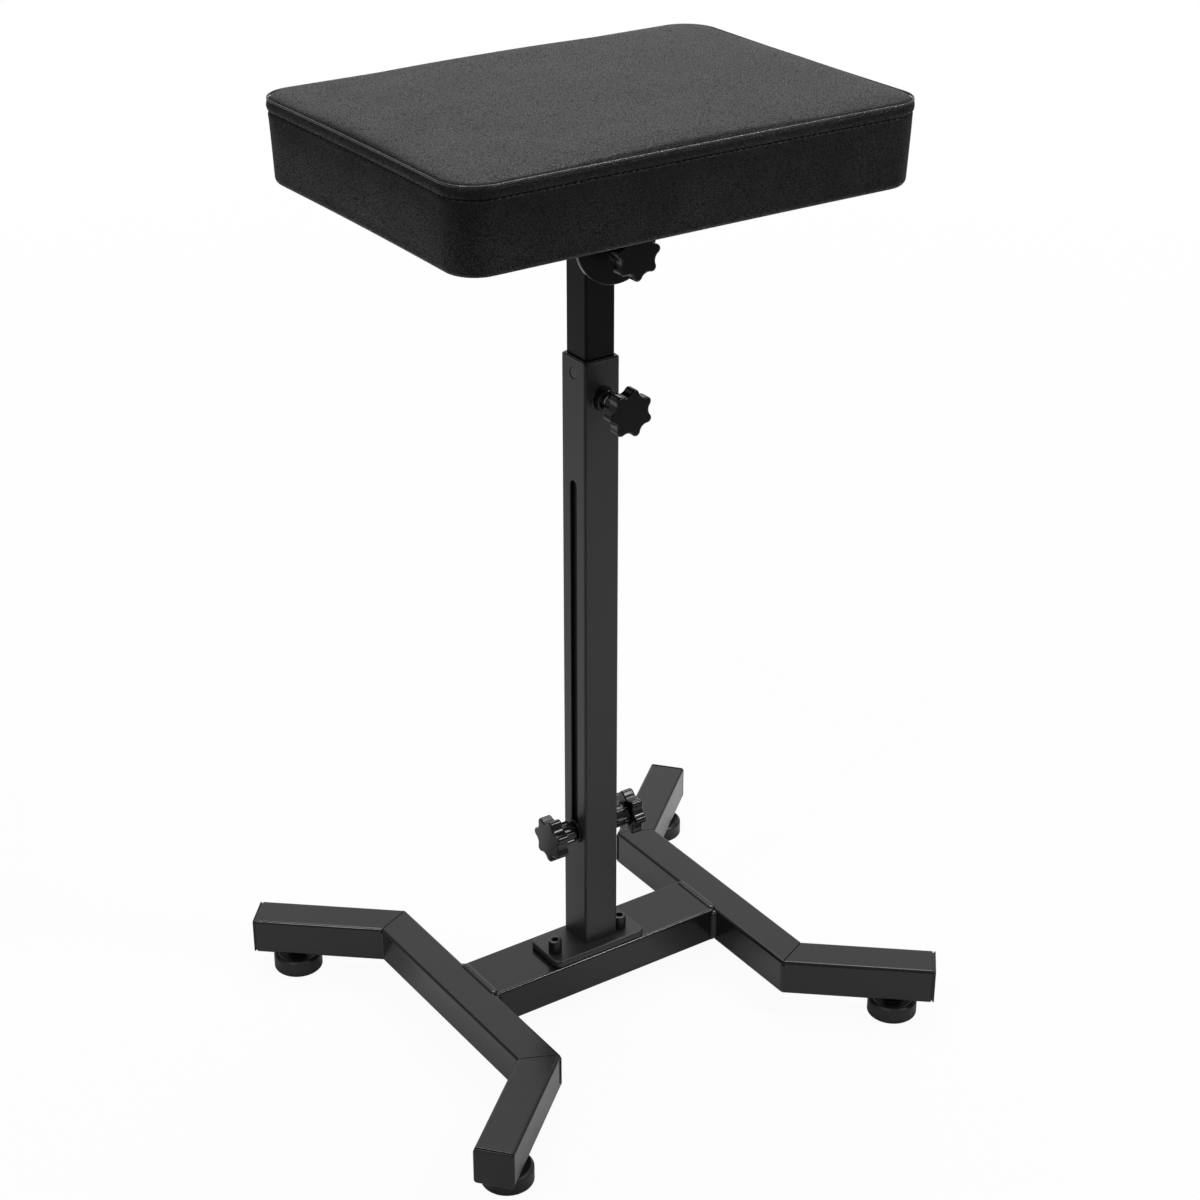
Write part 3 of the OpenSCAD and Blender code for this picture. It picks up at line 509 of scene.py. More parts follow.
def birch_plywood():
    """Birch plywood: growth rings on the faces and thin plies, dark and light, on the edges."""
    material, tree, shader = new_finish("birch_plywood")
    where = place_in(tree)
    along = put(tree, "Mapping", {"Vector": where, "Scale": (0.12, 1.0, 1.0)})
    rings = put(tree, "TexWave", {"Vector": (along, 0), "Scale": 60.0, "Distortion": 7.0,
                                  "Detail": 3.0}, bands_direction="Y")
    plies = put(tree, "TexWave", {"Vector": where, "Scale": 190.0}, bands_direction="Z")
    mask = put(tree, "Mix", {"Factor": 0.4, "A": (rings, "Fac"), "B": (plies, "Fac")})
    tint(tree, shader, (0.62, 0.45, 0.27), (0.42, 0.27, 0.14), (mask, "Result"))
    gloss(tree, shader, (rings, "Fac"), 0.55, 0.75)
    emboss(tree, shader, (rings, "Fac"), 0.05 * MM)
    return material


stitch_thread = thread_finish()
finishes["dust_fabric"] = spunbond()
finishes["pad_foam"] = open_foam()
finishes["plywood"] = birch_plywood()
print("Finishes:", sorted(finishes))

# %% Finishes of the plain nodes
for row in frame["record"]["subparts"]:
    for place in frame["nodes"][row["node"]].material_slots:
        place.material = finishes[row["material_slot"]]

# %% [markdown]
# ## Outlines and sections
# Bought parts never have knife edges. Three small functions give that: an outline with round
# corners, a broken line with its corners eased, and a turned shape from such a line.

# %% Outlines and turned shapes
def rounded_rect(width, depth, radius, steps=6):
    """Anticlockwise outline: each corner's centre + radius * (cos t, sin t), t over 90 degrees."""
    t = np.radians(np.arange(4)[:, None] * 90 + np.linspace(0, 90, steps + 1))
    sx = np.array([1, -1, -1, 1])[:, None]
    sy = np.array([1, 1, -1, -1])[:, None]
    x = sx * (width / 2 - radius) + radius * np.cos(t)
    y = sy * (depth / 2 - radius) + radius * np.sin(t)
    return np.stack([x, y], -1).reshape(-1, 2)


def eased(corners, ease, steps=4, closed=False):
    """A broken line whose corners P become curves (1-t)^2 A + 2t(1-t) P + t^2 B, where A and B
    lie on its two lines at the distance ease, or half way to the next corner if that is less."""
    line = np.asarray(corners, float)
    reach = np.broadcast_to(np.asarray(ease, float), len(line))
    if closed:
        line = np.vstack([line[-1:], line, line[:1]])
        reach = np.concatenate([reach[-1:], reach, reach[:1]])
    here = line[1:-1]
    ways = [line[:-2] - here, line[2:] - here]
    lengths = [np.linalg.norm(way, axis=1, keepdims=True) for way in ways]
    a, b = [here + way / length * np.minimum(reach[1:-1, None], length / 2)
            for way, length in zip(ways, lengths)]
    t = np.linspace(0, 1, steps + 1)[None, :, None]
    arcs = (1 - t) ** 2 * a[:, None] + 2 * t * (1 - t) * here[:, None] + t ** 2 * b[:, None]
    arcs = arcs.reshape(-1, line.shape[1])
    return arcs if closed else np.vstack([line[:1], arcs, line[-1:]])


def all_round(sides):
    """The angles of that many sides."""
    return np.arange(sides) * TAU / sides


def rings_of(angles, rows):
    """Rings from rows of (r, z): the points (r cos a, r sin a, z), where r is one number, or one
    for each angle a."""
    return np.stack([np.column_stack([r * np.cos(angles), r * np.sin(angles), z + 0 * angles])
                     for r, z in rows])


def turned(profile, sides=72, closed=False):
    """A turned shape: each point (r, z) of the profile becomes a round ring. A closed profile
    makes a ring, an open one a solid."""
    return loft(rings_of(all_round(sides), profile), close_rows=closed)


def turned_ring(corners, ease, steps=4):
    """A turned shape round a bore, from the corners (r, z) of its section."""
    return turned(eased(corners, ease, steps, closed=True), closed=True)


def rectangle(width, depth, radius, steps=6):
    """Outline of a rectangle with round corners, as a function of how far it is drawn in."""
    return lambda inset: rounded_rect(width - 2 * inset, depth - 2 * inset, radius - inset, steps)


def rings_at(outline, section):
    """Rings for a plate: section lists (inset, height), outline(inset) is the outline drawn in."""
    return np.stack([np.column_stack([outline(inset), np.full(len(outline(inset)), height)])
                     for inset, height in section])


def slab(outline, thickness, edge, steps=4):
    """A plate with rounded rims: the inset goes as edge * (1 - sin t) up its lower rim and as
    edge * (1 - cos t) over its upper one."""
    t = np.linspace(0, np.pi / 2, steps + 1)
    low = np.column_stack([edge * (1 - np.sin(t)), edge * (1 - np.cos(t))])
    high = np.column_stack([edge * (1 - np.cos(t)), thickness - edge * (1 - np.sin(t))])
    return loft(rings_at(outline, np.vstack([low, high])))


# Directions of pieces that are drawn upright: out of the front, and out of the two sides
TO_FRONT = ((1, 0, 0), (0, 0, 1), (0, -1, 0))
TO_BACK = ((1, 0, 0), (0, 0, -1), (0, 1, 0))
TO_SIDE = {1: ((0, 0, -1), (0, 1, 0), (1, 0, 0)), -1: ((0, 0, 1), (0, 1, 0), (-1, 0, 0))}
UPRIGHT = ((1, 0, 0), (0, 1, 0), (0, 0, 1))
QUARTER_TURN = ((0, 1, 0), (1, 0, 0), (0, 0, 1))
HANGING = ((1, 0, 0), (0, -1, 0), (0, 0, -1))
# How shapes that are round all over, and shapes of leather and cloth, become pieces
ROUND_SHAPE = {"crease": 60, "flat_faces": False}
SOFT_SHAPE = {"crease": 80, "flat_faces": False}
print("Round corners:", len(rounded_rect(1, 1, 0.2)), "points on a closed outline")

# %% [markdown]
# ## The bent legs and the beam
# Each leg is three pieces of square tube, cut on the mitre and welded. A tube is its rounded
# section carried along a line. At a mitre, the section leans: a point on the outer side starts
# later than one on the inner side, by its distance times the tangent of half the bend. The rim of
# each cut is eased by a fraction of a millimetre, so that the joint shows as a fine line.

# %% Sizes of the legs, read from the frame
beam_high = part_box("cross_beam")[1]
leg_low, leg_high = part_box("right_leg_tube")
LEG_SIDE = leg_high.z - leg_low.z
LEG_Z = leg_low.z
LEG_AXIS_Z = LEG_Z + LEG_SIDE / 2
LEG_EDGE_R = 2.5 * MM
BEND = math.radians(49.5)
ARM_L = 117.5 * MM
FOOT_INSET = 30 * MM
CUT_RIM = 0.6 * MM
CUT_GAP = 0.2 * MM
CUT_DEPTH = 2.2 * MM
print(f"Leg tube {LEG_SIDE / MM:.0f} mm square, beam {2 * beam_high.x / MM:.0f} mm long")


# %% A tube with eased cuts
def tube(width, height, radius, start, end, lean_start=0.0, lean_end=0.0):
    """Square tube along s: point = (s, u, v) with (u, v) on the rounded section. It runs from
    start + u * tan(lean_start) to end + u * tan(lean_end). Its rims shrink as a quarter circle, down
    to a hair of a gap that is left between the two parts of a joint."""
    q = np.linspace(0, np.pi / 2, 4)
    outline = rectangle(width, height, radius)
    inset = np.concatenate([[CUT_DEPTH], CUT_RIM * (1 - np.sin(q))])
    shift = CUT_GAP + np.concatenate([[0], CUT_RIM * (1 - np.cos(q))])

    def end_rings(base, lean, side):
        rows = [outline(i) for i in inset]
        rings = np.stack([np.column_stack([base + row[:, 0] * math.tan(lean) + side * move, row])
                          for row, move in zip(rows, shift)])
        return rings if side > 0 else rings[::-1]

    return loft(np.concatenate([end_rings(start, lean_start, 1), end_rings(end, lean_end, -1)]))


print("The rim of a cut is", CUT_RIM / MM, "mm wide")

# %% Frame of an arm in each quarter of the base
QUARTERS = {"front_left": (-1, -1), "rear_left": (-1, 1), "front_right": (1, -1), "rear_right": (1, 1)}


def arm_axes(sx, sy):
    """Origin on the arm's middle line at the bend, the direction along the arm, the one to its
    outer side, and up."""
    along = np.array([sx * math.sin(BEND), sy * math.cos(BEND), 0])
    outer = np.array([sx * math.cos(BEND), -sy * math.sin(BEND), 0])
    bend = np.array([sx * beam_high.x, sy * leg_high.y, LEG_AXIS_Z])
    return bend + outer * LEG_SIDE / 2, along, outer, np.array([0, 0, 1.0])


def foot_spot(sx, sy, z):
    """Place on the axis of the foot under an arm, at the height z."""
    centre, along, outer, up = arm_axes(sx, sy)
    x, y, _ = centre + along * (ARM_L - FOOT_INSET)
    return x, y, z


print("Feet at", [[round(float(k) / MM, 1) for k in foot_spot(sx, sy, 0)[:2]]
                  for sx, sy in QUARTERS.values()], "mm")

# %% Tubes of the base
mitre = math.tan(BEND / 2)
add_piece("beam_tube", placed(
    tube(beam_high.y * 2, LEG_SIDE, LEG_EDGE_R, -beam_high.x, beam_high.x),
    (0, 0, LEG_AXIS_Z), *UPRIGHT), "powder_coat", "base", ["cross_beam"])
for side_name, sx in (("left", -1), ("right", 1)):
    reach = leg_high.y - LEG_SIDE / 2 * mitre
    add_piece(f"{side_name}_leg_middle", placed(
        tube(LEG_SIDE, LEG_SIDE, LEG_EDGE_R, -reach, reach, BEND / 2, -BEND / 2),
        (sx * (beam_high.x + LEG_SIDE / 2), 0, LEG_AXIS_Z), (0, 1, 0), (sx, 0, 0), (0, 0, 1)),
        "powder_coat", "base", [f"{side_name}_leg_tube"])
for quarter, (sx, sy) in QUARTERS.items():
    add_piece(f"{quarter}_arm_tube", placed(
        tube(LEG_SIDE, LEG_SIDE, LEG_EDGE_R, LEG_SIDE / 2 * mitre, ARM_L, BEND / 2, 0.0),
        *arm_axes(sx, sy)), "powder_coat", "base", [f"{quarter}_arm"])

# %% [markdown]
# ## Weld beads
# A bead is a bulge in the corner of two plates, with a ripple for each pool of metal that froze.
# Its section is a quarter circle, or half an ellipse on a flat joint. The radius swells a few
# percent once per ripple, and the ripple lags in the middle of the bead, which makes crescents.

# %% One bead
def bead(start, end, a, b, arc=90.0, pitch=3.2 * MM, swell=0.03, sides=12):
    """Section point = path + r * (a cos t + b sin t) for t from 0 to arc, closed inside the
    corner. Along the length s, r = taper * (1 + swell * cos(TAU * s / pitch - 1.6 sin(h))),
    where h goes from 0 to pi over the arc and the taper is a quarter circle at both ends."""
    start, end, a, b = (np.asarray(v, float) for v in (start, end, a, b))
    length = np.linalg.norm(end - start)
    s = np.linspace(0, length, int(length / pitch * 6) + 8)
    t = np.radians(np.linspace(0, arc, sides))
    tip = np.clip(np.minimum(s, length - s) / np.linalg.norm(a), 0, 1)
    taper = np.sqrt(np.maximum(1 - (1 - tip) ** 2, 0.0))
    ripple = np.cos(TAU * s[:, None] / pitch - 1.6 * np.sin(np.linspace(0, np.pi, sides)))
    r = np.maximum(taper[:, None] * (1 + swell * ripple), 0.02)[..., None]
    path = start + (s / length)[:, None] * (end - start)
    skin = path[:, None] + r * (np.cos(t)[:, None] * a + np.sin(t)[:, None] * b)
    inside = path - (0.3 * (a + b) if arc <= 90 else 0.5 * b)
    return loft(np.concatenate([skin, inside[:, None]], axis=1))


print("A bead ripples once in every 3.2 mm")

# %% Beads between the beam and the legs
BEAD_R = 4.6 * MM
# Flat beads above and below: half their width, their rise, and how deep they start
FLAT_BEAD = (3.5 * MM, 1.9 * MM, 0.5 * MM)
beads = []
for sx in (-1, 1):
    x, y = sx * beam_high.x, beam_high.y
    low, high = LEG_Z + LEG_EDGE_R, LEG_Z + LEG_SIDE - LEG_EDGE_R / 2
    for sy in (-1, 1):
        beads.append(bead((x, sy * y, low), (x, sy * y, high),
                          (-sx * BEAD_R, 0, 0), (0, sy * BEAD_R, 0)))
    for z, up in ((LEG_Z + LEG_SIDE, 1), (LEG_Z, -1)):
        inner = y - LEG_EDGE_R / 2
        half_width, rise, sunk = FLAT_BEAD
        beads.append(bead((x, -inner, z - up * sunk), (x, inner, z - up * sunk),
                          (half_width, 0, 0), (0, 0, up * rise), arc=180.0, swell=0.015, sides=16))
add_piece("beam_weld_beads", joined(*beads), "powder_coat", "base", ["beam_welds"], **ROUND_SHAPE)

# %% Beads on the mitres
# They are ground nearly flush: low strips up both sides of the joint.
for quarter, (sx, sy) in QUARTERS.items():
    centre, along, outer, up = arm_axes(sx, sy)
    bisect = np.array([sx * math.sin(BEND / 2), sy * math.cos(BEND / 2), 0])
    across = np.array([sx * math.cos(BEND / 2), -sy * math.sin(BEND / 2), 0])
    corner_in = centre - outer * LEG_SIDE / 2
    corner_out = corner_in + across * LEG_SIDE / math.cos(BEND / 2)
    rise = LEG_SIDE / 2 - LEG_EDGE_R
    strips = [bead(corner_in - rise * up, corner_in + rise * up,
                   2.0 * MM * bisect, -0.35 * MM * across, arc=180.0, swell=0.05),
              bead(corner_out - rise * up, corner_out + rise * up,
                   2.2 * MM * bisect, 0.9 * MM * across, arc=180.0, swell=0.06)]
    add_piece(f"{quarter}_mitre_bead", joined(*strips), "powder_coat", "base", **ROUND_SHAPE)

# %% [markdown]
# ## End caps and feet
# A cap is a flange with a softly pillowed face, pressed into the tube, which leaves a dark joint
# line. A foot is a turned shape with a bevelled rim and a slightly dished top.

# %% End caps
CAP_T = 2.2 * MM
# Insets and heights of the rim, with a groove at the tube, and shares of the face's rings
cap_rim = np.array([[2.2, 0.0], [1.1, 0.0], [1.0, 0.9], [0.4, 1.0], [0.1, 1.15], [0.0, 1.4],
                    [0.0, 1.65], [0.15, 1.9], [0.6, 2.15]]) * MM
cap_face = np.array([0.985, 0.9, 0.75, 0.55, 0.3])


def end_cap():
    """Rings up the rim, then rings scaled towards the middle whose height goes as 1 - share^3."""
    rim_rings = rings_at(rectangle(LEG_SIDE, LEG_SIDE, LEG_EDGE_R), cap_rim)
    last = rim_rings[-1]
    height = last[0, 2] + (CAP_T - last[0, 2]) * (1 - cap_face ** 3)
    face = last[None] * cap_face[:, None, None]
    face[:, :, 2] = height[:, None]
    return loft(np.concatenate([rim_rings, face]))


for quarter, (sx, sy) in QUARTERS.items():
    centre, along, outer, up = arm_axes(sx, sy)
    add_piece(f"{quarter}_end_cap", placed(end_cap(), centre + along * ARM_L, outer, up, along),
              "cap_plastic", "base", [f"{quarter}_cap"])

# %% Feet
foot_low, foot_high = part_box("front_left_foot")
FOOT_R = (foot_high.x - foot_low.x) / 2
FOOT_H = foot_high.z


def foot_shape():
    """Sole with a bevel, a wall with a shallow groove, a bevelled rim, and a dished top."""
    corners = np.array([
        [0, 0], [FOOT_R - 1.0 * MM, 0], [FOOT_R, 1.0 * MM], [FOOT_R, 2.6 * MM],
        [FOOT_R - 0.3 * MM, 2.9 * MM], [FOOT_R - 0.3 * MM, 3.3 * MM], [FOOT_R, 3.6 * MM],
        [FOOT_R, FOOT_H - 1.8 * MM], [FOOT_R - 1.8 * MM, FOOT_H], [FOOT_R - 3.4 * MM, FOOT_H],
        [FOOT_R - 4.2 * MM, FOOT_H - 0.7 * MM], [8.6 * MM, FOOT_H - 0.9 * MM],
        [8.0 * MM, FOOT_H], [0, FOOT_H]])
    return turned(eased(corners, 0.5 * MM), sides=96)


for quarter, (sx, sy) in QUARTERS.items():
    add_piece(f"{quarter}_foot_disc", placed(foot_shape(), foot_spot(sx, sy, 0), *UPRIGHT),
              "foot_rubber", f"{quarter}_leveller", [f"{quarter}_foot"])

# %% [markdown]
# ## Threads and hexagons
# A thread is a cylinder whose radius is a wave of the height minus the angle, so its crests
# climb by one pitch a turn. A hexagon is the same trick across the section: the distance to a flat
# side is the flat's divided by the cosine of the angle from its middle.

# %% Threaded rod
def threaded_rod(radius, start, end, pitch=1.25 * MM, depth=0.6 * MM, sides=28):
    """r = radius - depth * (0.5 - 0.5 cos(TAU z / pitch - a)), on a grid of heights and angles,
    with a chamfer that takes the ends down to the core."""
    z = np.linspace(start, end, int((end - start) / pitch * 7) + 2)
    a = all_round(sides)
    wave = 0.5 - 0.5 * np.cos(TAU * z[:, None] / pitch - a)
    near_end = np.minimum(z - start, end - z)[:, None]
    r = np.minimum(radius - depth * wave, radius - 1.3 * depth + near_end)
    return loft(rings_of(a, zip(r, z)))


def hexagon(flat, angle):
    """Distance from the middle to the side of a hexagon of that width across its flats."""
    return flat / 2 / np.cos((angle + np.pi / 6) % (np.pi / 3) - np.pi / 6)


def hex_solid(flat, height, bore=0.0, sides=96):
    """Nut or bolt head: the radius is the lesser of the hexagon and a cone of 30 degrees at both
    ends, with an inner ring at the bore."""
    a = all_round(sides)
    corner_cut = flat / 2 * (1 / math.cos(np.pi / 6) - 0.97) * math.tan(np.pi / 6)
    z = np.array([0, 0.35, 0.7, 1.0]) * corner_cut
    z = np.concatenate([z, height - z[::-1]])
    cone = 0.97 * flat / 2 + np.minimum(z, height - z) / math.tan(np.pi / 6)
    r = np.minimum(hexagon(flat, a), cone[:, None])
    return loft(rings_of(a, [(bore, 0), *zip(r, z), (bore, height)]), close_rows=bore > 0)


print("Bolt head across corners:", round(2 * hexagon(13, np.pi / 6), 2), "mm for 13 mm flats")

# %% Jam nuts under the arms
ROD_R = 4.0 * MM
PIN_GAP = 0.06 * MM
nut_low, nut_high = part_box("foot_jam_nuts")
NUT_FLAT = 2 * ROD_R * 1.8 * math.cos(np.pi / 6)
nuts = [placed(hex_solid(NUT_FLAT, nut_high.z - nut_low.z, ROD_R + PIN_GAP),
               foot_spot(sx, sy, nut_low.z), *UPRIGHT) for sx, sy in QUARTERS.values()]
add_piece("jam_nuts", joined(*nuts), "black_steel", "base", ["foot_jam_nuts"])

# %% [markdown]
# ## The plate under the column and its screws
# The column stands on a small plate, held by two socket head screws. The head is a turned shape
# with a fine knurl, and its socket is a hexagon that sinks into the top.

# %% Plate
plate_low, plate_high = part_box("base_plate")
plate_w, plate_d, plate_t = plate_high - plate_low
PLATE_CORNER_R = 5 * MM
middle = (plate_low + plate_high) / 2
# The plate takes the lighter copy of the coat, painted light
add_piece("column_plate", placed(slab(rectangle(plate_w, plate_d, PLATE_CORNER_R, 8), plate_t,
                                      1.4 * MM),
                                 (middle.x, middle.y, plate_low.z), *UPRIGHT),
          "powder_coat", "base", ["base_plate"], look=lit_coat)


# %% Socket head screws
def socket_head(radius, height, socket, depth, shank, sides=144):
    """Rings of a screw head: a shank, a knurled wall r = radius - 0.12 mm * ridge(48 a), an
    eased top, and a hexagonal socket that is sunk by the depth."""
    a = all_round(sides)
    knurled = radius - 0.12 * MM * (0.5 - 0.5 * np.cos(48 * a))
    inner = hexagon(socket, a)
    return loft(rings_of(a, [
        (shank, -2 * MM), (shank, 0), (radius - 0.4 * MM, 0), (knurled, 0.4 * MM),
        (knurled, height - 2.2 * MM), (radius, height - 1.9 * MM), (radius, height - 0.8 * MM),
        (radius - 0.25 * MM, height - 0.25 * MM), (radius - 0.8 * MM, height),
        (inner + 0.25 * MM, height), (inner, height - 0.25 * MM), (inner, height - depth),
        (0.02 * inner, height - depth - 0.5 * MM)]))


screw_low, screw_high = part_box("base_screws")
HEAD_R = 5.25 * MM
head_h = screw_high.z - plate_high.z
screw_y = (screw_low.y + screw_high.y) / 2
heads = [placed(socket_head(HEAD_R, head_h, 5 * MM, 5 * MM, 3 * MM),
                (x, screw_y, plate_high.z), *UPRIGHT)
         for x in (screw_low.x + HEAD_R, screw_high.x - HEAD_R)]
add_piece("plate_screw_heads", joined(*heads), "black_steel", "base", ["base_screws"])

# %% [markdown]
# ## The telescopic column
# The outer column has slots and round windows cut into it, which a grid can't follow. Here a
# merged copy of the plain node serves: its flat faces are made whole again, and a Bevel modifier
# eases the cut edges, as the coating does on the real tube.

# %% Column, bush and post
# The column takes the lighter copy of the powder coat, painted light that stands in for its bright
# reflections. The sliding post is duller than the column: it takes the darker copy, painted shade under
# the pad
refined("column_tube", "outer_column", "powder_coat", "base", 0.35 * MM, look=lit_coat)
refined("column_rim_bush", "column_bush", "cap_plastic", "base", 0.5 * MM,
        look=finishes["knob_plastic"])
refined("post_tube", "inner_post", "powder_coat", "post", 0.3 * MM, look=shaded_coat)

# %% Boss of the lock screw
boss_low, boss_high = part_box("lock_boss")
BOSS_R = (boss_high.x - boss_low.x) / 2
boss_l = boss_high.y - boss_low.y
# Its foot is a weld that spreads over the column, and its rim is round
boss = turned_ring([[ROD_R + PIN_GAP, 0], [BOSS_R + 0.9 * MM, 0], [BOSS_R, 1.0 * MM],
                    [BOSS_R, boss_l], [ROD_R + PIN_GAP, boss_l]],
                   [0.1 * MM, 0.1 * MM, 0.9 * MM, 1.3 * MM, 0.5 * MM])
lock_z = (boss_low.z + boss_high.z) / 2
add_piece("lock_screw_boss", placed(boss, (0, boss_high.y, lock_z), *TO_FRONT),
          "powder_coat", "base", ["lock_boss"])

# %% [markdown]
# ## Star knobs
# The outline of a knob is made of arcs that run into each other: convex ones at the lobes and
# concave ones in the valleys. Seen from the middle, each arc has a simple formula for its distance
# at an angle, so the outline is one function of the angle. The knob is that function, drawn in or
# out by a section: a ribbed hub, a flare, the star's rounded rim, and a face that is barely domed.
# The two knobs in front have a second, darker and duller finish on their flat faces, which paints shade,
# as on the cheeks.

# %% Outline of the star
LOBES = 7
STAR_R = 18.0 * MM
LOBE_R = 3.2 * MM
WAIST_R = 14.3 * MM
HALF = np.pi / LOBES


def star_radius(angle):
    """Distance to the star's outline. On a lobe, whose arc is centred at the distance c, it is
    c cos p + sqrt(r^2 - c^2 sin^2 p); in a valley, c cos q - sqrt(r^2 - c^2 sin^2 q), where p and q
    are the angles from the lobe's and from the valley's middle."""
    c = STAR_R - LOBE_R
    near = WAIST_R - c * math.cos(HALF) - LOBE_R
    r = (LOBE_R ** 2 - WAIST_R ** 2 - c ** 2 + 2 * WAIST_R * c * math.cos(HALF)) / (2 * near)
    d = WAIST_R + r
    p = np.abs((angle + HALF) % (2 * HALF) - HALF)
    q = HALF - p
    lobe = c * np.cos(p) + np.sqrt(np.maximum(LOBE_R ** 2 - (c * np.sin(p)) ** 2, 0))
    valley = d * np.cos(q) - np.sqrt(np.maximum(r ** 2 - (d * np.sin(q)) ** 2, 0))
    touch = c + LOBE_R / (LOBE_R + r) * (np.array([d * math.cos(HALF), d * math.sin(HALF)]) - [c, 0])[0]
    across = LOBE_R / (LOBE_R + r) * d * math.sin(HALF)
    return np.where(p < math.atan2(across, touch), lobe, valley)


print("Star:", [round(float(star_radius(np.array(a)) / MM), 2) for a in (0, HALF / 2, HALF)], "mm")

# %% The whole knob
HUB_R = 7.8 * MM
RIB_R = 1.5 * MM
HUB_L = 14.0 * MM
FACE_R = np.array([11.5, 8.0, 4.0]) * MM
FACE_RISE = np.array([0.06, 0.1, 0.12]) * MM
STAR_T = 10.0 * MM
BACK_RIM, FRONT_RIM = 1.0 * MM, 1.6 * MM


def knob(turn_deg, sides=224):
    """Rings of a knob along its axis. Each is (distance as a function of the angle, height):
    the hub with half-round ribs, the flare, the star's rim as a quarter circle, and the face."""
    a = all_round(sides)
    p = np.abs((a + HALF) % (2 * HALF) - HALF)
    rib = HUB_R * np.cos(p) + np.sqrt(np.maximum(RIB_R ** 2 - (HUB_R * np.sin(p)) ** 2, 0))
    ribbed = np.maximum(HUB_R, np.where(HUB_R * np.sin(p) < RIB_R, rib, 0))
    star = star_radius(a)
    flare = HUB_R + 3 * MM
    rows = [(0.6 * HUB_R, 0), (HUB_R - 0.9 * MM, 0), (HUB_R - 0.3 * MM, 0.2 * MM),
            (HUB_R, 0.8 * MM), (HUB_R, 1.6 * MM), (0.5 * (HUB_R + ribbed), 1.9 * MM),
            (ribbed, 2.5 * MM), (ribbed, HUB_L - 3.6 * MM),
            (np.maximum(ribbed, HUB_R + 0.5 * MM), HUB_L - 2.2 * MM),
            (np.maximum(ribbed, HUB_R + 1.4 * MM), HUB_L - 0.9 * MM), (flare, HUB_L)]
    rows += [(flare + (star - 1.3 * MM - flare) * share, HUB_L) for share in (0.5, 0.93)]
    q = np.linspace(0, np.pi / 2, 6)
    rows += [(star - BACK_RIM * (1 - math.sin(t)), HUB_L + BACK_RIM * (1 - math.cos(t)))
             for t in q]
    top = HUB_L + STAR_T
    rows += [(star - FRONT_RIM * (1 - math.cos(t)), top - FRONT_RIM * (1 - math.sin(t)))
             for t in q]
    rows += [((star - FRONT_RIM) * 0.97, top + 0.03 * MM)]
    rows += [(r, top + lift) for r, lift in zip(FACE_R, FACE_RISE)]
    return loft(rings_of(a + math.radians(turn_deg), rows))


print("A knob has", len(knob(0)[0]), "points")

# %% The four knobs in their places
stud_low, stud_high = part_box("clamp_stud")
clamp_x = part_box("right_clamp_knob")[0].x
stud_z = (stud_low.z + stud_high.z) / 2
tilt_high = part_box("tilt_knob")[1]
tilt_z = sum(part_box("pivot_sleeve")[i].z for i in (0, 1)) / 2
lock_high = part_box("lock_knob")[1]
KNOBS = {"left_clamp": (-13.8, (-clamp_x, 0, stud_z), TO_SIDE[-1], "left_clamp"),
         "right_clamp": (13.0, (clamp_x, 0, stud_z), TO_SIDE[1], "right_clamp"),
         "tilt": (10.6, (0, tilt_high.y, tilt_z), TO_FRONT, "tilt_clamp"),
         "lock": (-23.8, (0, lock_high.y, lock_z), TO_FRONT, "column_lock")}
for name, (turn_deg, seat, axes, body) in KNOBS.items():
    star_knob = add_piece(f"{name}_star_knob", placed(knob(turn_deg), seat, *axes),
                          "knob_plastic", body, [f"{name}_knob"], crease=50)
    # The front knobs' flat faces take the darker copy of the plastic: painted shade
    if axes is TO_FRONT:
        shade_flat_faces(star_knob, shaded_plastic)

# %% Threaded studs and washers
def washer(outer_r, inner_r, thickness):
    """A turned ring with eased rims."""
    return turned_ring([[inner_r, 0], [outer_r, 0], [outer_r, thickness], [inner_r, thickness]],
                       0.3 * MM, steps=3)


lock_stud_low, lock_stud_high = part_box("lock_stud")
add_piece("lock_threaded_stud", placed(threaded_rod(ROD_R, 0, lock_stud_high.y - lock_stud_low.y),
                                       (0, lock_stud_high.y, lock_z), *TO_FRONT),
          "zinc_steel", "column_lock", ["lock_stud"], **ROUND_SHAPE)
add_piece("clamp_threaded_stud", placed(threaded_rod(ROD_R, stud_low.x, stud_high.x),
                                        (0, 0, stud_z), *TO_SIDE[1]),
          "zinc_steel", "post", ["clamp_stud"], **ROUND_SHAPE)
slot_low, slot_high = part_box("slot_washers")
WASHER_R = (slot_high.z - slot_low.z) / 2
WASHER_T = 1.5 * MM
add_piece("clamp_washers", joined(*[
    placed(washer(WASHER_R, ROD_R, WASHER_T), (sx * (slot_high.x - WASHER_T), 0, stud_z), *TO_SIDE[sx])
    for sx in (-1, 1)]), "black_steel", "post", ["slot_washers"])

# %% [markdown]
# ## The tilt joint
# Two half-moon cheeks hang from a plate under the pad and pinch a sleeve on top of the post. A
# bolt runs through all of them, with its head behind and the star knob in front.

# %% Plate and cheeks
bracket_low, bracket_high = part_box("tilt_bracket")
bracket_l, bracket_w, bracket_t = bracket_high - bracket_low
BRACKET_CORNER_R = 8 * MM
SHEET_EDGE_R = 0.6 * MM
add_piece("pad_bracket_plate", placed(slab(rectangle(bracket_l, bracket_w, BRACKET_CORNER_R, 8),
                                           bracket_t, SHEET_EDGE_R),
                                      (0, 0, bracket_low.z), *UPRIGHT),
          "powder_coat", "pad", ["tilt_bracket"])
cheek_low, cheek_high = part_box("front_cheek")
CHEEK_R = cheek_high.x
cheek_t = cheek_high.y - cheek_low.y
arc_z = cheek_low.z + CHEEK_R - tilt_z


